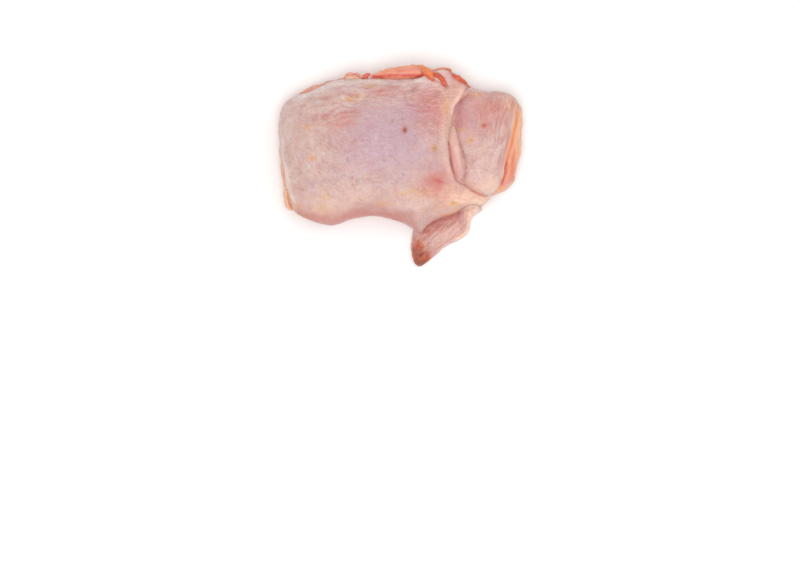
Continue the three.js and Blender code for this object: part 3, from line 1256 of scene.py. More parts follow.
MAIN_SKIN = SkinPiece(
    name="main_skin",
    form=Form(
        corners=(
            (9, 47.4, 6), (0, 47, 9), (-31, 46.3, 12), (-41.8, 43, 13), (-49, 39.5, 14), (-56.4, 37.4, 14),
            (-61.8, 33, 14), (-63.9, 26.6, 14), (-64, 18, 14), (-63.4, 8, 14), (-61.8, -3, 14),
            (-60.8, -10, 14), (-57.4, -21.8, 15), (-52, -27, 15), (-38, -31.7, 14), (-25, -28, 13),
            (-13, -26.4, 13), (0, -29.6, 13), (10.5, -35.2, 12), (13.8, -33.4, 8), (16.6, -30.5, 7),
            (20, -28.6, 7), (25.4, -27.4, 6), (30, -24.8, 5), (34.6, -22.2, 5), (38.9, -20.8, 5),
            (43, -21.2, 4), (46.4, -19.4, 4), (48.2, -16.4, 4), (45, -13, 4), (38, -9, 4), (31.6, -5.6, 4),
            (28.7, -0.8, 4), (27.6, 6, 4), (27.2, 12, 4), (28.2, 17.6, 4), (29, 23, 3.4), (29.6, 28.5, 2.8),
            (30.6, 32.4, 2.6), (32.8, 34.8, 2.6), (35, 38, 2.6), (36.8, 42, 2.6), (33.6, 46, 2.6),
            (27.4, 50.7, 2.6), (22.4, 52, 2.6), (16.6, 50.2, 2.6),
        ),
        middle=(-14, 8), ground=7,
        hills=(
            Hill(at=(-17, 9), rise=29, reach=(62, 50)),
            Hill(at=(47, -21), rise=-8, reach=(17, 13)),
            Hill(at=(16, -33), rise=-7, reach=(15, 10)),
            Hill(at=(29.5, 7), rise=-3.2, reach=(6, 17)),
        ),
        crests=(
            Crest(((20, 36), (23.4, 27), (23.4, 17), (24.5, 8), (26, -1), (29, -9)), rise=1.4, width=2.6),
            Crest(((4, -17), (22, -16), (44, -18)), rise=1.2, width=3),
            Crest(((24, -22.5), (33, -19.5), (43, -19)), rise=0.9, width=1.4),
            Crest(((16.4, 49), (19.4, 48.2), (21.8, 46), (24.2, 42.4)), rise=-2.6, width=1.7),
            Crest(((8, 46), (17.2, 44.4), (23, 41.2)), rise=0.9, width=1.4),
            Crest(((26.8, 49.4), (29.2, 47.3), (33.3, 45.2), (36, 43)), rise=-1.6, width=1.0),
            Crest(((25, 46), (27.5, 42), (27.5, 36)), rise=-0.7, width=1.8),
            Crest(((33, 42.5), (31.4, 37.4), (28.8, 33.4)), rise=0.5, width=1.6),
        ),
    ),
    detail=Detail(cells=220, side=40, base=6),
    wrinkles=(
        Wrinkles(at=(-8, 39), reach=(32, 7), run=3, apart=1.5, length=9, depth=0.36),
        Wrinkles(at=(-38, 30), reach=(20, 9), run=10, apart=2.8, length=14, depth=0.3),
        Wrinkles(at=(16, 27), reach=(12, 14), run=-8, apart=1.6, length=6, depth=0.28),
        Wrinkles(at=(24, -15), reach=(20, 6), run=-4, apart=1.8, length=10, depth=0.2),
        Wrinkles(at=(-35, 5), reach=(24, 26), run=-45, apart=2.2, length=5, depth=0.15),
        Wrinkles(at=(0, 8), reach=(26, 26), run=-30, apart=2.0, length=4, depth=0.12),
        Wrinkles(at=(14, -30), reach=(10, 8), run=60, apart=1.8, length=8, depth=0.16),
        Wrinkles(at=(-58, 5), reach=(6, 28), run=84, apart=1.8, length=12, depth=0.16),
        Wrinkles(at=(38, -19), reach=(12, 4), run=12, apart=1.3, length=9, depth=0.2),
        Wrinkles(at=(28, 42), reach=(7, 7), run=-50, apart=1.2, length=7, depth=0.16),
    ),
    goosebumps=(((-26, -15), (14, 7), 0.5), ((-40, -6), (16, 16), 0.12), ((-48, -20), (12, 8), 0.2)),
    stains=(
        *patches(
            Tint.LAVENDER,
            (-2.7, 13, 22, 20, 0.95), (10, 30, 9, 6, 0.6), (-20, 8, 12, 20, 0.35), (-30, 9, 7, 8, 0.2),
            (26.6, 46, 3, 3, 0.3),
        ),
        *patches(Tint.CREASE, (-30, 9, 8, 8, 0.12)),
        # painted shade on the slope down to the lower edge
        Streak(
            Tint.CREASE,
            ((-52, -25.4), (-40, -29), (-31, -28), (-22, -24.4), (-12, -23.4), (0, -26.4), (8, -31)),
            width=3.2, strength=0.4,
        ),
        # pale patches, and painted light: highlights on the goosebumps and the plump end's rim, and lighter
        # places along the far hem and under the web's arch
        *patches(
            Tint.PALE_AND_HIGHLIGHT,
            (-13, 13.5, 2, 3.4, 0.22), (-7.5, 18, 2.4, 3, 0.16), (-6, 9.6, 2.6, 3, 0.14),
            (-20, -14.6, 4, 3, 0.26), (-27, -14, 6, 4, 0.1), (4, 43.4, 11, 4, 0.5),
            (21.4, 49.6, 3, 1.8, 0.5), (-57.4, 23, 4, 9, 0.34), (-59.6, -10, 3, 7, 0.4),
            (8, -22, 6, 3, 0.3), (-4, 33, 9, 1.6, 0.3), (3, 36, 6, 0.8, 0.5), (14, 12, 3, 4, 0.25),
            (-21, 37.6, 12, 3.6, 0.4), (-51, 34, 5, 4, 0.3), (2, -22.4, 4, 2.6, 0.3), (25.6, 45, 3, 3, 0.4),
        ),
        *patches(
            Tint.ROSE,
            (-5, 38.6, 22, 4, 0.26), (-41, 25.6, 3, 1.6, 0.5), (-30.4, 24, 5, 4, 0.5),
            # (-24, -27) is a rose band along the lower edge, partly the skin's own warm edge, partly painted
            # shade
            (-36, 20.5, 7, 2.4, 0.3), (18, 27, 9, 13, 0.6), (14, 35, 10, 4.5, 0.26), (-24, -27, 34, 3, 0.5),
            (27, -20, 10, 4, 0.3), (31, 44, 4, 5, 0.4), (-55, -12.6, 3, 3, 0.4), (21, -14, 9, 5, 0.6),
            (25, 32, 3, 10, 0.4), (31, 38, 3, 5, 0.3), (-10, -19, 34, 7, 0.16), (25.5, -17.6, 4, 2.6, 0.45),
            (30.6, -16.6, 5, 3, 0.3), (38, -12.6, 5, 2, 0.3), (21, 28, 5, 6, 0.16),
            (24.5, -26, 5, 1.6, 0.4), (18.6, 45.8, 4, 2.4, 0.9), (29, 42.6, 1.2, 2, 0.5, 30),
            (26, 48.6, 4, 1.6, 0.3),
        ),
        *patches(
            Tint.CREAM,
            (25.4, 27, 3, 14, 0.45, 3), (25.4, 4, 2.4, 14, 0.45, 8), (37, -16, 13, 5, 0.9),
            (14, -19, 22, 5, 0.35), (40, -17.4, 7, 3.4, 0.5), (-40, -22, 16, 7, 0.3), (30, 38, 4, 6, 0.4),
            (-22, -15, 10, 5, 0.25), (-61, -12, 4, 9, 0.4),
        ),
        *patches(
            Tint.BLOOD,
            (20.8, -5.4, 7.4, 7, 0.3), (22.4, -9.6, 7, 5.4, 0.2), (17, -8, 7, 7, 0.12),
            (19.6, -8.5, 3, 1, 0.4, -4), (15, -6, 2.4, 2.8, 0.1), (12, 28.4, 5, 0.9, 0.4),
            (-10.6, 38.8, 3.4, 0.6, 0.75, 3), (-3.6, 41.2, 3, 0.55, 0.6, 4), (-9, 36.6, 6, 0.7, 0.35),
            (6, 31, 4, 0.8, 0.3), (7.3, 40, 1.1, 0.7, 0.5), (15, 39.2, 2.2, 0.5, 0.4),
            (18.3, 32.6, 1.6, 0.6, 0.5), (-16.6, 40.2, 2.4, 0.5, 0.4), (15.6, 30.4, 1.4, 0.5, 0.4),
            (11.6, 34.4, 2, 0.5, 0.3), (-38, 25.8, 2.2, 0.6, 0.4, 12), (-29.4, 27, 2, 0.6, 0.35, 8),
        ),
        *patches(
            Tint.STRAW,
            (-26.7, 34.2, 2.6, 1.4, 0.8), (-21.5, 36.3, 3.2, 1.1, 0.6), (-48.4, 19.4, 1.5, 1.3, 0.7),
            (-46.6, 3.6, 2.2, 1.4, 0.8), (-9.6, -20.4, 2.6, 1.4, 0.7), (5, -14, 5.5, 1, 0.7, 12),
            (-41.6, -23.5, 3.4, 2, 0.4), (28.6, -20.4, 2.4, 1.1, 0.9), (18.4, 8.5, 1.9, 1.9, 0.8),
            (-15, 42, 4, 1.2, 0.6), (-25, 11, 1.5, 1, 0.4), (-18, -6, 1.4, 1, 0.5), (24.8, 30, 1.6, 5, 0.5),
            (-55.8, -21.8, 2.2, 1.6, 0.35), (12, -15, 5, 1.2, 0.4, 14), (-30, -2, 1, 0.8, 0.4),
            (-40, -17, 2, 1.2, 0.5), (22.6, -22, 3, 0.9, 0.4), (12, -23, 2.4, 1, 0.4),
        ),
        *patches(
            Tint.FRECKLE,
            (2.6, 17.9, 0.9, 1.2, 0.85), (18.4, 8.5, 1.1, 1.2, 0.45), (-3.8, 22.8, 0.6, 0.9, 0.4),
            (1.4, 23.4, 1.1, 0.6, 0.3), (-2.6, 8.6, 0.6, 0.6, 0.3), (-4.6, 4, 1.2, 0.6, 0.25),
            (-36.5, 10.4, 0.8, 1.6, 0.2, 40), (-24, 12.2, 0.8, 1.8, 0.2, -30), (-8.4, 2, 1, 0.7, 0.2),
        ),
        *patches(Tint.RUST, (2.2, 18.3, 1.5, 1.7, 0.8), (-24, 27.4, 3, 1.2, 0.2)),
        # painted highlight along the far hem
        Streak(Tint.PALE_AND_HIGHLIGHT, ((-10, 46), (4, 45.8), (11, 45.2)), width=1.5),
        Streak(Tint.PALE_AND_HIGHLIGHT, ((11, 45.2), (17, 44), (24, 41)), width=0.8, strength=0.8),
        Streak(Tint.BLOOD, ((17.6, -29.4), (22.4, -27.6), (28, -25.4)), width=0.9, strength=0.5),
        # painted highlight where the skin curves down round the plump end
        Streak(
            Tint.PALE_AND_HIGHLIGHT,
            ((-62.6, 14), (-62, 4), (-60, -5), (-58.4, -14), (-56.6, -19)),
            width=0.9, strength=0.6,
        ),
        Streak(Tint.CREAM, ((33.4, 41), (31.6, 37), (28.6, 32), (28, 25)), width=1.4, strength=0.4),
        # painted light over the rounded slope of the far hem
        Streak(
            Tint.PALE_AND_HIGHLIGHT,
            ((-54, 35.6), (-50, 38), (-38, 42.6), (-26, 44.6), (-10, 45)),
            width=2.4, strength=0.8,
        ),
        # warm red along the lower edge: partly the skin's own colour, partly painted contact shadow
        Streak(Tint.ROSE, ((-55, -23), (-40, -31), (-30, -30), (-22, -26.4)), width=3.2, strength=0.6),
        Streak(Tint.ROSE, ((-22, -26.4), (-12, -25.6), (0, -28.4), (9, -34)), width=1.8, strength=0.5),
        Streak(
            Tint.RUST,
            ((-54, -25.6), (-42, -32), (-32, -32), (-24, -28), (-12, -26), (0, -29)),
            width=1.8, strength=0.44,
        ),
        Streak(Tint.BLOOD, ((17, 48.6), (20, 47.8), (22.2, 45.6), (23.6, 43.4)), width=1.3, strength=0.9),
        Streak(Tint.RUST, ((17, 48.6), (20.6, 47.4), (22.6, 45), (23.8, 43)), width=1.2, strength=0.6),
        Streak(Tint.BLOOD, ((27, 49.4), (29.4, 47.2), (33.3, 45.2), (36, 43)), width=0.9, strength=0.7),
        Streak(Tint.STRAW, ((22, -26.4), (27, -25.2), (31, -22.8)), width=0.8, strength=0.5),
        # painted shade in the crease between the main skin and the hem roll, partly reddish flesh in the gap
        Streak(
            Tint.CREASE,
            ((25.6, 12), (26.6, 6), (27.6, -1), (29, -7), (31.4, -9), (36, -11)),
            width=0.5, strength=0.7,
        ),
        # painted highlight along the hem's edge
        Streak(Tint.PALE_AND_HIGHLIGHT, ((24.6, 10), (25.4, 5), (26.4, -1), (27.4, -6)), width=0.7, strength=0.4),
        # painted shade in the crease over the flap and along the web's crease
        Streak(
            Tint.CREASE,
            ((12, -34.5), (16, -31), (22, -28), (30, -25.6), (36, -22), (43, -21.4)),
            width=0.6, strength=0.8,
        ),
        Streak(
            Tint.CREASE,
            ((29.6, 24), (29.6, 29.6), (31.6, 33.8), (35, 37.6), (35.6, 42)),
            width=0.6, strength=0.6,
        ),
    ),
)

FOLDED_END = SkinPiece(
    name="folded_end_skin",
    form=Form(
        corners=(
            (41, 41.4, 6), (36.5, 42.2, 4), (30, 40, 4), (22, 36, 6), (14, 24, 8), (16, 4, 8),
            (28, -6.4, 6), (34.2, -11.2, 5), (38, -13.7, 5), (45, -16.3, 6), (50, -14.6, 7), (54, -9.5, 7),
            (57.2, 5, 6.5), (59.6, 17, 6), (61.8, 28.4, 6), (63.2, 34, 5), (59.8, 38, 6), (53.4, 40.2, 7),
            (46.4, 39.9, 8),
        ),
        middle=(38, 14), ground=10,
        hills=(Hill(at=(46, 10), rise=15, reach=(34, 38)),),
        crests=(
            Crest(((54, 34), (55, 16), (51, -4)), rise=0.8, width=2),
            Crest(((28.8, 22.4), (31.6, 11), (33.6, 4.4), (34.4, -3), (34, -7.4)), rise=-1.1, width=1.3),
            Crest(((30.6, 20), (30.6, 29), (32.6, 34.6), (36, 38)), rise=-1.4, width=1.8),
        ),
    ),
    detail=Detail(cells=160, side=34, base=6),
    wrinkles=(
        Wrinkles(at=(56, 20), reach=(5, 20), run=76, apart=1.9, length=22, depth=0.55, turn=-8, wander=0.4),
        Wrinkles(at=(48, 26), reach=(8, 13), run=86, apart=2.4, length=14, depth=0.3, wander=0.6),
        Wrinkles(at=(36, 36), reach=(8, 6), run=-50, apart=1.5, length=7, depth=0.2),
        Wrinkles(at=(42, 0), reach=(14, 16), run=30, apart=1.9, length=4.5, depth=0.15),
    ),
    goosebumps=(((44, -4), (12, 10), 0.26),),
    stains=(
        # lilac tone with painted shade in the hollow right of the web's crease
        *patches(Tint.LAVENDER, (31.5, 31, 5, 7, 0.9), (34, 24, 6, 9, 0.5)),
        *patches(
            Tint.PALE_AND_HIGHLIGHT,
            (52, 8, 2.4, 9, 0.3, -8), (44, -6, 7, 5, 0.25), (50, 36.6, 8, 3, 0.4), (35.6, 40, 4, 2.4, 0.5),
        ),
        *patches(
            Tint.ROSE,
            (44, 27, 12, 11, 0.5), (51, 30, 8, 8, 0.34), (37, 38, 7, 4, 0.4), (57, 14, 3, 16, 0.3),
            (32, 26, 4, 8, 0.4), (44, -3, 12, 8, 0.2), (40, -10.6, 5, 3.4, 0.34), (37, 16, 7, 5, 0.2),
        ),
        *patches(
            Tint.CREAM,
            (46, -12, 10, 4, 0.5), (58.6, 33, 4, 6, 0.9), (50, -8, 5, 7, 0.3), (57, 6, 2, 10, 0.4),
        ),
        *patches(
            Tint.RUST,
            (60.6, 33, 2.6, 6, 0.42), (51, 38.6, 7, 1.6, 0.3), (54, 34, 8, 4, 0.16),
            (44.7, 21.1, 1.1, 1.1, 0.6),
        ),
        *patches(Tint.BLOOD, (44.7, 21.1, 1.3, 1.1, 0.7), (40, 31, 4, 1, 0.2)),
        *patches(
            Tint.STRAW,
            (37.3, 13.2, 1.8, 1.4, 0.8), (41.5, 37.6, 4, 1.6, 0.4), (33, 19, 2.4, 1, 0.5),
            (30.5, 18.5, 1.2, 0.8, 0.5), (42, 8, 1.4, 1, 0.3),
        ),
        *patches(Tint.FRECKLE, (37.4, 12.8, 0.9, 0.8, 0.25)),
        # painted shade in the creases beside the web and the hem roll
        Streak(Tint.CREASE, ((29.8, 22), (29.8, 29), (32, 33.6), (35.8, 37.6)), width=1.0, strength=0.6),
        Streak(
            Tint.CREASE,
            ((29, 21), (30, 15.6), (31.9, 10.4), (33.7, 4.4), (34.5, -3), (34, -7.4)),
            width=0.7, strength=0.6,
        ),
        Streak(
            Tint.BLOOD,
            ((30, -7.6), (34.4, -10.8), (38.2, -13.4), (46, -16.4)),
            width=0.8, strength=0.7,
        ),
        Streak(Tint.CREAM, ((54.2, -6), (57.6, 8), (60.2, 22), (61.4, 31)), width=0.8, strength=0.8),
    ),
)

TAIL_FLAP = SkinPiece(
    name="tail_flap",
    form=Form(
        corners=(
            (10, -28, 3), (6.5, -38, 2.6), (6.4, -47.5, 2.6), (9.6, -53.4, 2.6), (13.6, -51.8, 2.4),
            (18.5, -47.8, 2.2), (24.6, -43, 2), (32.4, -38.8, 2), (36.4, -35.6, 2), (37.8, -31.4, 2),
            (38, -28.4, 2), (40.4, -25.6, 2.4), (43.6, -22.4, 3), (36, -14, 3), (22, -20, 3),
        ),
        middle=(25, -32), ground=3,
        hills=(
            Hill(at=(41, -19), rise=4, reach=(9, 9)),
            Hill(at=(18, -38), rise=2.2, reach=(9, 9)),
            Hill(at=(34.6, -27.5), rise=2.8, reach=(4, 6.5)),
        ),
        crests=(
            Crest(
                ((41, -24.4), (37.2, -28), (36.6, -32), (34.4, -36), (28, -39.8), (20, -45)),
                rise=0.9, width=1.1,
            ),
            Crest(((30.4, -24.6), (30.2, -29), (31.6, -33)), rise=-0.4, width=1.6),
            Crest(((16, -33.6), (21, -30.6), (27, -29.8)), rise=-0.8, width=1.6),
            Crest(((30, -31), (20, -39), (11, -50)), rise=0.9, width=1.8),
            Crest(((24, -36), (16, -43), (11, -47)), rise=-0.5, width=0.8),
        ),
    ),
    detail=Detail(cells=130, side=26, base=6),
    wrinkles=(
        Wrinkles(
            at=(22, -38), reach=(12, 9), run=42, apart=1.4, length=10, depth=0.26, turn=40, wander=0.8,
        ),
        Wrinkles(at=(36, -26), reach=(6, 8), run=62, apart=1.3, length=7, depth=0.25),
        Wrinkles(at=(10, -46), reach=(6, 9), run=70, apart=1.5, length=6, depth=0.35),
    ),
    stains=(
        *patches(Tint.CREAM, (38, -24, 4, 5, 0.6), (26, -36, 9, 5, 0.3, 30)),
        *patches(Tint.PALE_AND_HIGHLIGHT, (27, -36.4, 8, 2.4, 0.14, 32), (20, -40, 6, 1.6, 0.12, 40)),
        # near the crease under the main skin's edge the rose and blood are partly the flap's own red, partly
        # painted shadow
        *patches(
            Tint.ROSE,
            (32, -27, 3, 4, 0.3), (32.4, -33.6, 5, 4, 0.34), (23, -29.6, 11, 4, 0.6, 20),
            (22, -33.6, 3, 0.8, 0.4, 20), (24, -40, 14, 4, 0.4, 36),
        ),
        *patches(
            Tint.BLOOD,
            (26.4, -27.4, 3.4, 1.3, 0.9, 15), (21, -28.4, 8, 1.8, 0.6, 18), (14.4, -35.4, 2.4, 2, 0.35, 30),
        ),
        *patches(Tint.STRAW, (11.4, -42.4, 2.4, 2.6, 0.8), (14.6, -49.4, 2.6, 2, 0.8)),
        *patches(
            Tint.RUST,
            (14.2, -36, 2.6, 3, 0.4), (10.6, -46.6, 5, 6, 1), (9, -42, 2.4, 4, 0.6), (13, -51, 5, 3.4, 1),
        ),
        *patches(Tint.FRECKLE, (10, -46.6, 3.4, 2.6, 0.8), (8, -44, 1.2, 3, 0.3), (11, -52, 5, 1.8, 0.9)),
        # painted shadow in the crease under the main skin's edge
        Streak(Tint.CREASE, ((12, -35), (16.5, -30.8), (22, -28.6), (27, -27.4)), width=1.4, strength=0.9),
        Streak(Tint.CREASE, ((27, -27.4), (33, -24.6), (40, -22.2)), width=0.6, strength=0.3),
        # painted highlight along the flap's rim, over its own pale cream edge
        Streak(
            Tint.PALE_AND_HIGHLIGHT,
            ((42, -23.6), (38.2, -27), (37, -31.4), (35.4, -35.4), (31, -38.4), (24, -42)),
            width=0.9, strength=0.9,
        ),
        Streak(Tint.CREAM, ((38, -27), (37, -31.4), (35.4, -35.4), (31, -38.4)), width=1.2, strength=0.6),
        Streak(Tint.PALE_AND_HIGHLIGHT, ((24, -42), (18, -46.6), (14, -50)), width=0.6, strength=0.3),
    ),
    hemmed=False,
)


@dataclass
class FleshBed:
    """The meat inside the skin. It shows as a rim at both ends, a ledge at the far side, and underneath."""

    name: str = "flesh"
    form: Form = Form(
        corners=(
            (37, 43.4, 6), (29, 49.4, 7), (21, 52, 8), (12, 53.4, 9), (4, 53.2, 9), (-5, 51.6, 9),
            (-12, 49.6, 8), (-20, 47.6, 8), (-32, 47.6, 9), (-44.4, 44.2, 9), (-51.6, 41, 10),
            (-57.6, 37.6, 10), (-62.2, 33, 11), (-64.4, 26, 12), (-64.3, 16, 12), (-64.2, 5, 12),
            (-63.4, -4, 12), (-61.6, -12, 12), (-59.2, -20.4, 12), (-50, -24, 9), (-34, -25, 9),
            (12, -24, 9), (40, -14, 8), (50, -14.8, 8), (56, -12.8, 9), (60, -8.6, 10), (62.6, -1.8, 11),
            (64.8, 7.6, 12), (65.3, 18, 12), (65.4, 27, 11), (64.8, 32.6, 8), (59.6, 36, 6), (46, 36, 5),
        ),
        middle=(0, 12), ground=14,
        hills=(
            Hill(at=(58, 12), rise=4, reach=(12, 24)),
            Hill(at=(8, 50), rise=4, reach=(16, 8)),
            Hill(at=(-60, 8), rise=2, reach=(12, 22)),
        ),
        fullness=1.0, tuck=12.0,
    )
    detail: Detail = Detail(cells=110, side=46, base=60)
    stains: tuple[Patch | Streak, ...] = (
        *patches(Tint.CREAM, (-64, 12, 4, 20, 0.6), (-30, 40, 20, 6, 0.5), (57, -12.4, 8, 2.6, 0.9, 35)),
        *patches(
            Tint.STRAW,
            (63, 20, 4, 15, 0.9), (-61, -15, 4, 8, 1), (53.3, -11.6, 1.6, 1.4, 0.9),
            (50, -13.2, 1.4, 1, 0.8),
        ),
        *patches(
            Tint.RUST,
            (-60.6, -18, 2.4, 4, 0.6), (53.3, -11.6, 1, 0.9, 0.7), (-54, 39.4, 3, 1.6, 0.9, 40),
        ),
        *patches(Tint.ROSE, (58, -4, 4, 7, 0.45), (0, 47, 24, 2.4, 0.7)),
        # dark orange in the crevice under the folded end's skin edge: partly the fat's own colour, partly
        # painted shade
        Streak(
            Tint.RUST,
            ((62.8, 28.4), (61.4, 22), (60, 16.4), (58.8, 9.9), (57.4, 4.4), (56.6, 0.4)),
            width=0.55, strength=0.9,
        ),
        Streak(Tint.RUST, ((61.4, 8), (60.4, 1.6), (59.9, -3.6)), width=0.45, strength=0.6),
        Streak(Tint.BLOOD, ((57, 1), (56, -3), (55.2, -6.6), (54.6, -10)), width=1.0, strength=0.8),
        Streak(Tint.STRAW, ((58.8, 3), (58.4, -3), (57, -8)), width=0.6, strength=0.7),
        Streak(Tint.CREAM, ((65, 30), (65.8, 18), (65, 8), (63, 0)), width=1.3, strength=0.8),
        # dark red where the far strip meets the skin: partly the meat's own red, partly painted shadow
        Streak(Tint.BLOOD, ((-14, 47.4), (0, 48.2), (12, 47.4), (18, 46)), width=1.1, strength=0.9),
        Streak(Tint.RUST, ((-63, 31), (-55, 39.4), (-44, 45), (-32, 48)), width=1.6, strength=0.5),
    )
    LOBES = ((26.0, 6.0, 1.3), (14.0, 2.6, 0.4), (8.0, 1.1, 0.14))  # how long, wide and high its strands are
    STEEP = 2.6  # the more, the narrower the grooves between them
    BULK = 1.5  # how far it swells and sinks besides
    GIRTH = 52.0  # what turns the angle round its middle into millimetres along its edge
    WANDER = 6.0  # how far the strands stray
    EDGE = (0.4, 3)  # the heights between which its underside turns into its edge
    LOW = (0.52, 0.72)  # where on the side its own stains start and end to give way to clouds
    CLOUDS = ((Tint.CREAM, 2.0), (Tint.ROSE, -1.6), (Tint.STRAW, 1.2))  # how strong each tint's clouds are
    CLOUDED = 0.8  # how strong they are at most
    SEAM_FAT = 0.9  # how yellow the seams underneath are
    HEM_FAT = 0.7  # how pale the meat is along the skin's hem underneath
    HEM_WIDTH = 9  # how far from the hem that reaches

    def make(self, noise: Noise, footprint: Footprint, material: bpy.types.Material) -> bpy.types.Object:
        """Builds the meat, with strands that run along its edge and its muscles underneath.

        Args:
            noise: The random field of its strands.
            footprint: Where the skin ends underneath.
            material: Its finish.

        Returns:
            The piece.
        """
        surface = domed(self.form, self.detail, footprint.under_flesh)
        points = surface.points.copy()
        x, y, z = points.T
        outline = curve_through(np.array(self.form.corners, float), closed=True, fineness=4)
        inward = distance_to(outline, x, y) + z
        along = np.arctan2(x, y) * self.GIRTH
        across = inward + self.WANDER * noise.layered(points / 22, 2)
        edge = smooth(*self.EDGE, z)
        relief = self.BULK * edge * noise.layered(points / 13, 3)
        for length, width, rise in self.LOBES:
            fold = noise.layered(np.stack([along / length, across / width, 0 * z + width], -1), 1)
            relief = relief + edge * rise * ridges(fold, self.STEEP)
        surface.masks.update(stained(self.stains, points, noise))
        low = smooth(*self.LOW, surface.masks["side"])
        cloud = edge * noise.layered(flat(along / 16, across / 7), 2)
        cloud = cloud + (1 - edge) * noise.layered(flat(x / 16, y / 9), 2)
        for tint, strength in self.CLOUDS:
            stain = surface.masks[tint.value]
            surface.masks[tint.value] = stain + low * (np.clip(strength * cloud, 0, self.CLOUDED) - stain)
        for tint in (Tint.RUST, Tint.BLOOD):
            surface.masks[tint.value] *= 1 - low
        hem = (1 - smooth(0, self.HEM_WIDTH, footprint.past_hem(x, y))) * (1 - footprint.bare(x, y))
        surface.deepen(Tint.STRAW, self.SEAM_FAT * ((1 - edge) * footprint.seams(x, y)))
        surface.deepen(Tint.CREAM, self.HEM_FAT * ((1 - edge) * hem))
        under_along, under_across = footprint.grain(x, y)
        ways = (along * edge + under_along * (1 - edge), across * edge + under_across * (1 - edge), z * 0.3)
        surface.masks[GRAIN] = np.stack(ways, -1)
        surface.pushed(relief)
        return piece_from(surface, self.name, material)


@dataclass(frozen=True)
class Shred:
    """A named strand with its finish."""

    name: str
    slot: str
    strand: Strand
    fades: tuple[tuple[Tint, float, float], ...] = ()  # a tint, its strength at the start and at the end
    groove: float = 0.15  # how deep its fine grooves are
    stains: tuple[Patch | Streak, ...] = ()
    on_hem: bool = False  # whether its heights are above the skin's lower edge, and not above the table

    GROOVES = (6.0, 0.9)  # how long and how far apart the grooves are

    def make(
        self, noise: Noise, footprint: Footprint, materials: dict[str, bpy.types.Material]
    ) -> bpy.types.Object:
        """Builds the strand, with fine grooves along it.

        Args:
            noise: The random field of its relief.
            footprint: Where the skin's lower edge is.
            materials: The finishes by slot.

        Returns:
            The piece.
        """
        surface = self.strand.surface(noise)
        if self.on_hem:
            surface.points[:, 2] += footprint.under_skin(*surface.points[:, :2].T)
        points, run = surface.points.copy(), surface.masks["run"]
        length = np.linalg.norm(np.diff(np.array(self.strand.along), axis=0), axis=1).sum()
        grain = np.stack([run * length, points[:, 1], points[:, 2]], -1)
        long, apart = self.GROOVES
        surface.masks.update(stained(self.stains, points, noise))
        for tint, start, end in self.fades:
            surface.deepen(tint, start + (end - start) * run)
        surface.masks[GRAIN] = grain
        surface.pushed(self.groove * 2 * noise.layered(grain / (long, apart, apart), 2))
        return piece_from(surface, self.name, materials[self.slot])


def beside(form: Form, start: float, end: float, count: int = 18) -> tuple[Corner, ...]:
    """Points along a form's outline.

    Args:
        form: The form.
        start: The share of the way round its outline where they start.
        end: The share where they end.
        count: How many there are.

    Returns:
        The points, a millimetre up.
    """
    curve = curve_through(np.array(form.corners, float), closed=True)
    spots = along_evenly(curve, np.linspace(start, end, count), axes=2)
    return tuple((x, y, 1.0) for x, y, _ in spots.tolist())


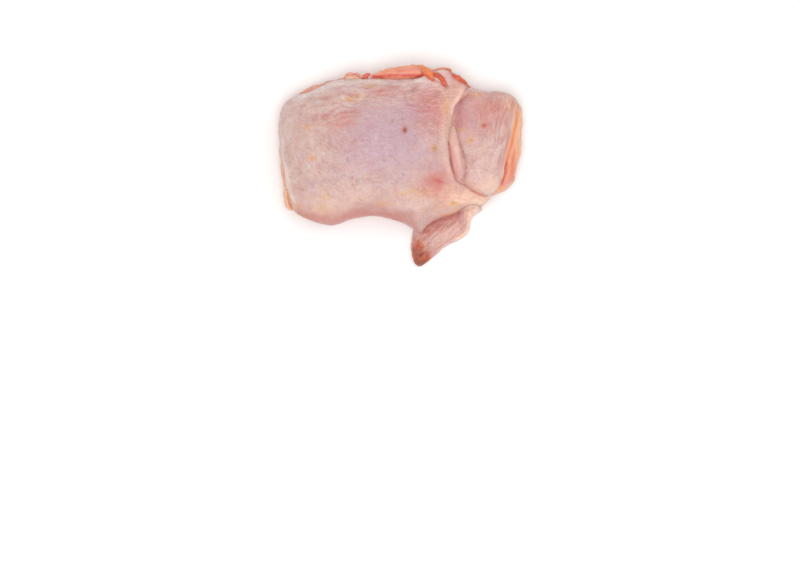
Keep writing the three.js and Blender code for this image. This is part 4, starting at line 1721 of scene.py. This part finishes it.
SHREDS = (
    Shred(
        "hem_roll", "skin",
        Strand(
            (
                (27.6, 25, 16.6), (27.6, 18, 19.2), (28.5, 11, 20.8), (29.6, 5, 21), (30.5, -1, 20.5),
                (31.2, -8.8, 18.6),
            ),
            wide=3.3, deep=2.0, lean=1.5, rings=110, steps=44,
        ),
        fades=((Tint.CREAM, 0.4, 0.0), (Tint.ROSE, 0.3, 0.6)), groove=0.12,
        stains=(
            # painted highlight along the roll's top, and painted shade in the crease at its left flank
            Streak(Tint.PALE_AND_HIGHLIGHT, ((29.8, 9), (31.4, 3), (32.6, -3), (32.8, -6)), width=1.0, strength=0.7),
            Streak(Tint.CREASE, ((25.8, 12), (27, 6), (28, -1), (29.2, -6.6)), width=0.5, strength=0.8),
            Streak(Tint.ROSE, ((27.6, 10), (28.6, 4), (29.6, -2), (30.2, -6)), width=0.7, strength=0.5),
        ),
    ),
    Shred(
        "fold_lip", "skin",
        Strand(
            ((29.6, -8.2, 13), (32.4, -11.2, 11), (35.6, -13.4, 9.4), (38.6, -15, 8)),
            wide=0.8, deep=1.5, rings=70,
        ),
        fades=((Tint.CREAM, 0.6, 0.9), (Tint.ROSE, 0.3, 0.1)),
    ),
    Shred(
        "fold_line", "flesh",
        Strand(
            ((37, -13, 9.6), (40, -14.9, 8.4), (43.4, -16.3, 7.4), (47, -16.6, 6.4)),
            wide=0.5, deep=1.2, rings=70,
        ),
        fades=((Tint.RUST, 0.8, 0.2), (Tint.ROSE, 0.4, 0.3), (Tint.CREAM, 0.0, 0.4)),
    ),
    Shred(
        "plump_hem", "skin",
        Strand(beside(MAIN_SKIN.form, 0.2, 0.405, 28), wide=0.7, deep=1.2, ends=1.4, ragged=0.5, rings=260),
        fades=((Tint.CREAM, 0.5, 0.6), (Tint.STRAW, 0.0, 0.3), (Tint.ROSE, 0.3, 0.2)), on_hem=True,
    ),
    Shred(
        "far_flesh", "flesh",
        Strand(
            ((-16, 47.2, 13.6), (-5, 48.8, 15.4), (6, 49.8, 16.4), (16, 49.2, 16)),
            wide=3.6, deep=2.2, ends=2.6, lean=1.3, ragged=0.14, rings=110, steps=48,
        ),
        fades=((Tint.ROSE, 0.05, 0.25), (Tint.RUST, 0.2, 0.3), (Tint.CREAM, 0.2, 0.1)), groove=0.14,
        stains=(
            # dark red where the strip meets the skin: partly the meat's own red, partly painted shadow
            Streak(
                Tint.BLOOD,
                ((-14, 47.2), (-4, 47.9), (6, 48), (13, 47.4), (17.6, 45.6)),
                width=0.8, strength=0.95,
            ),
            Streak(Tint.STRAW, ((-13, 49.6), (-5, 52), (3, 53.2), (9, 53.6)), width=0.9, strength=0.7),
        ),
    ),
    Shred(
        "far_flesh_tip", "flesh",
        Strand(
            ((3.4, 52, 13.4), (8.6, 51.6, 15.6), (12.4, 50.4, 17.2), (15, 47.8, 18.9), (17.6, 44.4, 20.4)),
            wide=2.6, deep=1.3, ends=1.9, lean=1.2, ragged=0.25, rings=110, steps=44,
        ),
        fades=((Tint.RUST, 0.4, 1.0), (Tint.STRAW, 0.6, 0.3)), groove=0.2,
        stains=(
            Streak(Tint.STRAW, ((8, 53.6), (12.4, 53.8), (15, 51), (16.4, 47)), width=1.0, strength=0.9),
            Streak(
                Tint.BLOOD,
                ((5, 51.4), (9.2, 49.6), (12.6, 47.8), (16.2, 45), (17.4, 44.6)),
                width=0.9, strength=0.9,
            ),
        ),
    ),
    Shred(
        "frill_bed", "flesh",
        Strand(
            ((-31, 45.6, 11.6), (-27.4, 47.4, 12.6), (-22.6, 47.6, 13), (-17.4, 46.6, 12.6)),
            wide=1.5, deep=0.7, ends=3, twist=30, ragged=0.35, rings=80, steps=30,
        ),
        fades=((Tint.CREAM, 1.0, 0.6), (Tint.ROSE, 0.0, 0.3)), groove=0.25,
        stains=(
            Streak(Tint.BLOOD, ((-26, 45.6), (-24, 45.4)), width=0.7),
            *patches(Tint.STRAW, (-24.6, 47.2, 1.4, 1, 0.9)),
        ),
    ),
    Shred(
        "frill_first", "flesh",
        Strand(
            ((-30.6, 46, 12.6), (-28.6, 48.4, 13.4), (-26, 49.2, 13.6), (-24.6, 48.6, 13.4)),
            wide=0.45, deep=0.9, ends=3, twist=120, ragged=0.5, rings=60, steps=22,
        ),
        fades=((Tint.CREAM, 0.6, 0.2), (Tint.ROSE, 0.2, 0.7)), groove=0.2,
    ),
    Shred(
        "frill_second", "flesh",
        Strand(
            ((-24.8, 49, 13.2), (-22.8, 49, 13.9), (-21, 48, 14), (-19.6, 46.6, 13.4)),
            wide=0.5, deep=0.9, ends=3, twist=-90, ragged=0.5, rings=60, steps=22,
        ),
        fades=((Tint.ROSE, 0.9, 0.4), (Tint.CREAM, 0.2, 0.4)), groove=0.2,
    ),
    Shred(
        "frill_lobe", "flesh",
        Strand(
            ((-20.4, 46, 12.6), (-18.8, 47.2, 13.8), (-17.2, 48.4, 14.2), (-15.8, 48.6, 13.4)),
            wide=1.3, deep=1.1, ends=2.4, twist=30, ragged=0.4, rings=60, steps=26,
        ),
        fades=((Tint.ROSE, 0.6, 0.8), (Tint.BLOOD, 0.0, 0.4)), groove=0.25,
    ),
    Shred(
        "web_red_inner", "flesh",
        Strand(
            (
                (16.4, 48.2, 16), (19, 48.1, 16.2), (21.2, 46.4, 16.4), (23.1, 44.2, 16.8),
                (24.4, 41.8, 16.8),
            ),
            wide=1.5, deep=0.8, ends=1.9, lean=0.85, ragged=0.5, rings=90, steps=32,
        ),
        fades=((Tint.RUST, 1.0, 1.0), (Tint.BLOOD, 0.6, 0.6)),
    ),
    Shred(
        "web_lip_inner", "skin",
        Strand(
            ((16, 47, 17.8), (18.8, 45.9, 18.2), (21.8, 43.7, 17.8)),
            wide=1.0, deep=0.7, ends=1.6, ragged=0.4, rings=70,
        ),
        fades=((Tint.ROSE, 0.3, 0.6), (Tint.PALE_AND_HIGHLIGHT, 0.5, 0.1)),
    ),
    Shred(
        "web_arch", "flesh",
        Strand(
            ((16.8, 49.8, 14.6), (18.8, 51.2, 13.6), (21.8, 51.9, 12.8), (25, 51.8, 12.6), (28, 50.8, 12)),
            wide=0.7, deep=1.4, ends=2.4, lean=1.3, ragged=0.4, rings=100,
        ),
        fades=((Tint.ROSE, 0.7, 0.2), (Tint.RUST, 0.0, 0.9), (Tint.CREAM, 0.5, 0.0)),
    ),
    Shred(
        "web_red_outer", "flesh",
        Strand(
            (
                (27.6, 48.8, 13.8), (29.4, 47.2, 14.6), (31.4, 46, 14.4), (33.6, 44.6, 13.4),
                (35.8, 43, 11.4),
            ),
            wide=1.4, deep=1.0, ends=1.9, ragged=0.5, rings=90, steps=32,
        ),
        fades=((Tint.ROSE, 0.8, 0.0), (Tint.RUST, 0.6, 1.0), (Tint.BLOOD, 0.5, 0.7)),
    ),
    Shred(
        "web_lip_outer", "skin",
        Strand(
            ((28, 49.6, 12.2), (31.2, 47.8, 12.4), (34, 45.6, 11.4), (36.8, 43, 10)),
            wide=0.6, deep=1.6, ends=1.8, ragged=0.4, rings=90,
        ),
        fades=((Tint.ROSE, 0.6, 0.3), (Tint.PALE_AND_HIGHLIGHT, 0.2, 0.5)),
    ),
    Shred(
        "web_tail", "flesh",
        Strand(
            ((34, 44.8, 12.2), (36.2, 43.2, 11.2), (38.4, 41.8, 10)),
            wide=0.8, deep=1.1, ends=1.8, ragged=0.4, rings=70,
        ),
        fades=((Tint.RUST, 0.7, 0.1), (Tint.STRAW, 0.5, 0.6), (Tint.CREAM, 0.0, 0.6)),
    ),
    Shred(
        "rim_fat", "fat",
        Strand(
            ((-58, -23.4, 4.6), (-60, -20.6, 6), (-60.7, -16.4, 7.4), (-60.9, -11, 7.8), (-61.4, -6, 7.4)),
            wide=1.6, deep=2.5, ends=1.5, lean=0.72, ragged=0.22, rings=110, steps=36,
        ),
        fades=((Tint.STRAW, 0.9, 0.7), (Tint.RUST, 0.3, 0.0), (Tint.PALE_AND_HIGHLIGHT, 0.3, 0.3)), groove=0.25,
    ),
    Shred(
        "rim_lobe", "fat",
        Strand(
            ((63.6, 13, 8.6), (63, 6, 9.4), (61.7, 0.4, 9.2), (60.4, -7.2, 7.6)),
            wide=1.0, deep=2.4, ends=1.6, ragged=0.4, rings=110, steps=36,
        ),
        fades=((Tint.STRAW, 1.0, 0.4), (Tint.RUST, 0.0, 0.1), (Tint.ROSE, 0.0, 0.6)), groove=0.2,
    ),
    Shred(
        "corner_fat", "fat",
        Strand(
            ((48.4, -15.4, 6.8), (50.6, -14.4, 7.6), (53, -12.8, 8)),
            wide=0.9, deep=1.3, ragged=0.45, rings=50,
        ),
        fades=((Tint.STRAW, 0.9, 0.9), (Tint.RUST, 0.1, 0.5), (Tint.CREAM, 0.5, 0.2)), groove=0.3,
    ),
)


class Studio:
    """The floor, the light and the camera."""

    SCALE = 0.534  # millimetres to a pixel of the photograph, at the thigh
    FRAME = (800, 580)  # its size in pixels
    THIGH_MIDDLE = (400, 166)  # the pixel of the plan's origin
    DISTANCE = 1400.0  # the camera's height
    OUTLINE_HEIGHT = 12.0  # the height of the thigh's widest line, at which the scale holds
    SENSOR = 36.0
    LAMPS = (("key", (-0.1, -0.35, 1.3), 0.9, 7.4), ("fill", (0.6, 0.3, 1.2), 1.2, 4.0))  # place, size, power
    AIM = (0, 0, 0.01)  # what the lamps point at
    SURROUND = (1.0, 0.99, 0.98, 1)
    SURROUND_POWER = 0.7
    FLOOR = (0.93, 0.93, 0.93, 1)
    FLOOR_ROUGHNESS = 0.6
    FLOOR_REACH = 4.0  # half of its side, in metres

    def floor(self) -> None:
        """A wide pale floor, staged."""
        material = bpy.data.materials.new("pale_floor")
        material.use_nodes = True
        shader = material.node_tree.nodes["Principled BSDF"]
        shader.inputs["Base Color"].default_value = self.FLOOR
        shader.inputs["Roughness"].default_value = self.FLOOR_ROUGHNESS
        mesh = bpy.data.meshes.new("floor")
        half = self.FLOOR_REACH
        corners = [(-half, -half, 0), (half, -half, 0), (half, half, 0), (-half, half, 0)]
        mesh.from_pydata(corners, [], [(0, 1, 2, 3)])
        mesh.materials.append(material)
        floor = bpy.data.objects.new("floor", mesh)
        bpy.context.scene.collection.objects.link(floor)

    def light(self) -> None:
        """A large soft key over the near left, a weak fill from the right, and an even pale surround."""
        scene = bpy.context.scene
        world = bpy.data.worlds.new("surround")
        world.use_nodes = True
        background = world.node_tree.nodes["Background"]
        background.inputs[0].default_value = self.SURROUND
        background.inputs[1].default_value = self.SURROUND_POWER
        scene.world = world
        for name, place, size, power in self.LAMPS:
            lamp = bpy.data.lights.new(name, "AREA")
            lamp.size = size
            lamp.energy = power
            lamp_object = bpy.data.objects.new(name, lamp)
            lamp_object.location = place
            aim = Vector(self.AIM) - Vector(place)
            lamp_object.rotation_euler = aim.to_track_quat("-Z", "Y").to_euler()
            scene.collection.objects.link(lamp_object)
        scene.view_settings.view_transform = "Standard"

    def camera(self) -> None:
        """Looks straight down, with the thigh at the place and size that it has in the photograph."""
        lens = bpy.data.cameras.new("camera")
        wide = self.FRAME[0] * self.SCALE
        lens.sensor_width = self.SENSOR
        lens.lens = self.SENSOR * (self.DISTANCE - self.OUTLINE_HEIGHT) / wide
        lens.clip_start, lens.clip_end = 0.05, 20
        camera = bpy.data.objects.new("camera", lens)
        x = (self.FRAME[0] / 2 - self.THIGH_MIDDLE[0]) * self.SCALE - PLAN_MIDDLE[0]
        y = (self.THIGH_MIDDLE[1] - self.FRAME[1] / 2) * self.SCALE - PLAN_MIDDLE[1]
        camera.location = (x * MM, y * MM, self.DISTANCE * MM)
        bpy.context.scene.collection.objects.link(camera)
        bpy.context.scene.camera = camera


def main() -> None:
    """Builds the thigh and its studio, and reports each piece."""
    logging.basicConfig(level=logging.INFO, format="%(name)s: %(message)s")
    noise = Noise(seed=MEAT_SEED)
    footprint = Footprint(noise)
    effects = Effects()
    skin = SkinFinish().make(effects)
    flesh = FleshFinish().make(effects)
    materials = {"skin": skin, "flesh": flesh, "fat": flesh}
    for number, piece in enumerate((MAIN_SKIN, FOLDED_END, TAIL_FLAP)):
        piece.make(Noise(seed=SKIN_SEED + number), footprint, skin)
    FleshBed().make(noise, footprint, flesh)
    for number, shred in enumerate(SHREDS):
        shred.make(Noise(seed=SHRED_SEED + number), footprint, materials)
    studio = Studio()
    studio.floor()
    studio.light()
    studio.camera()


if __name__ == "__main__":
    main()
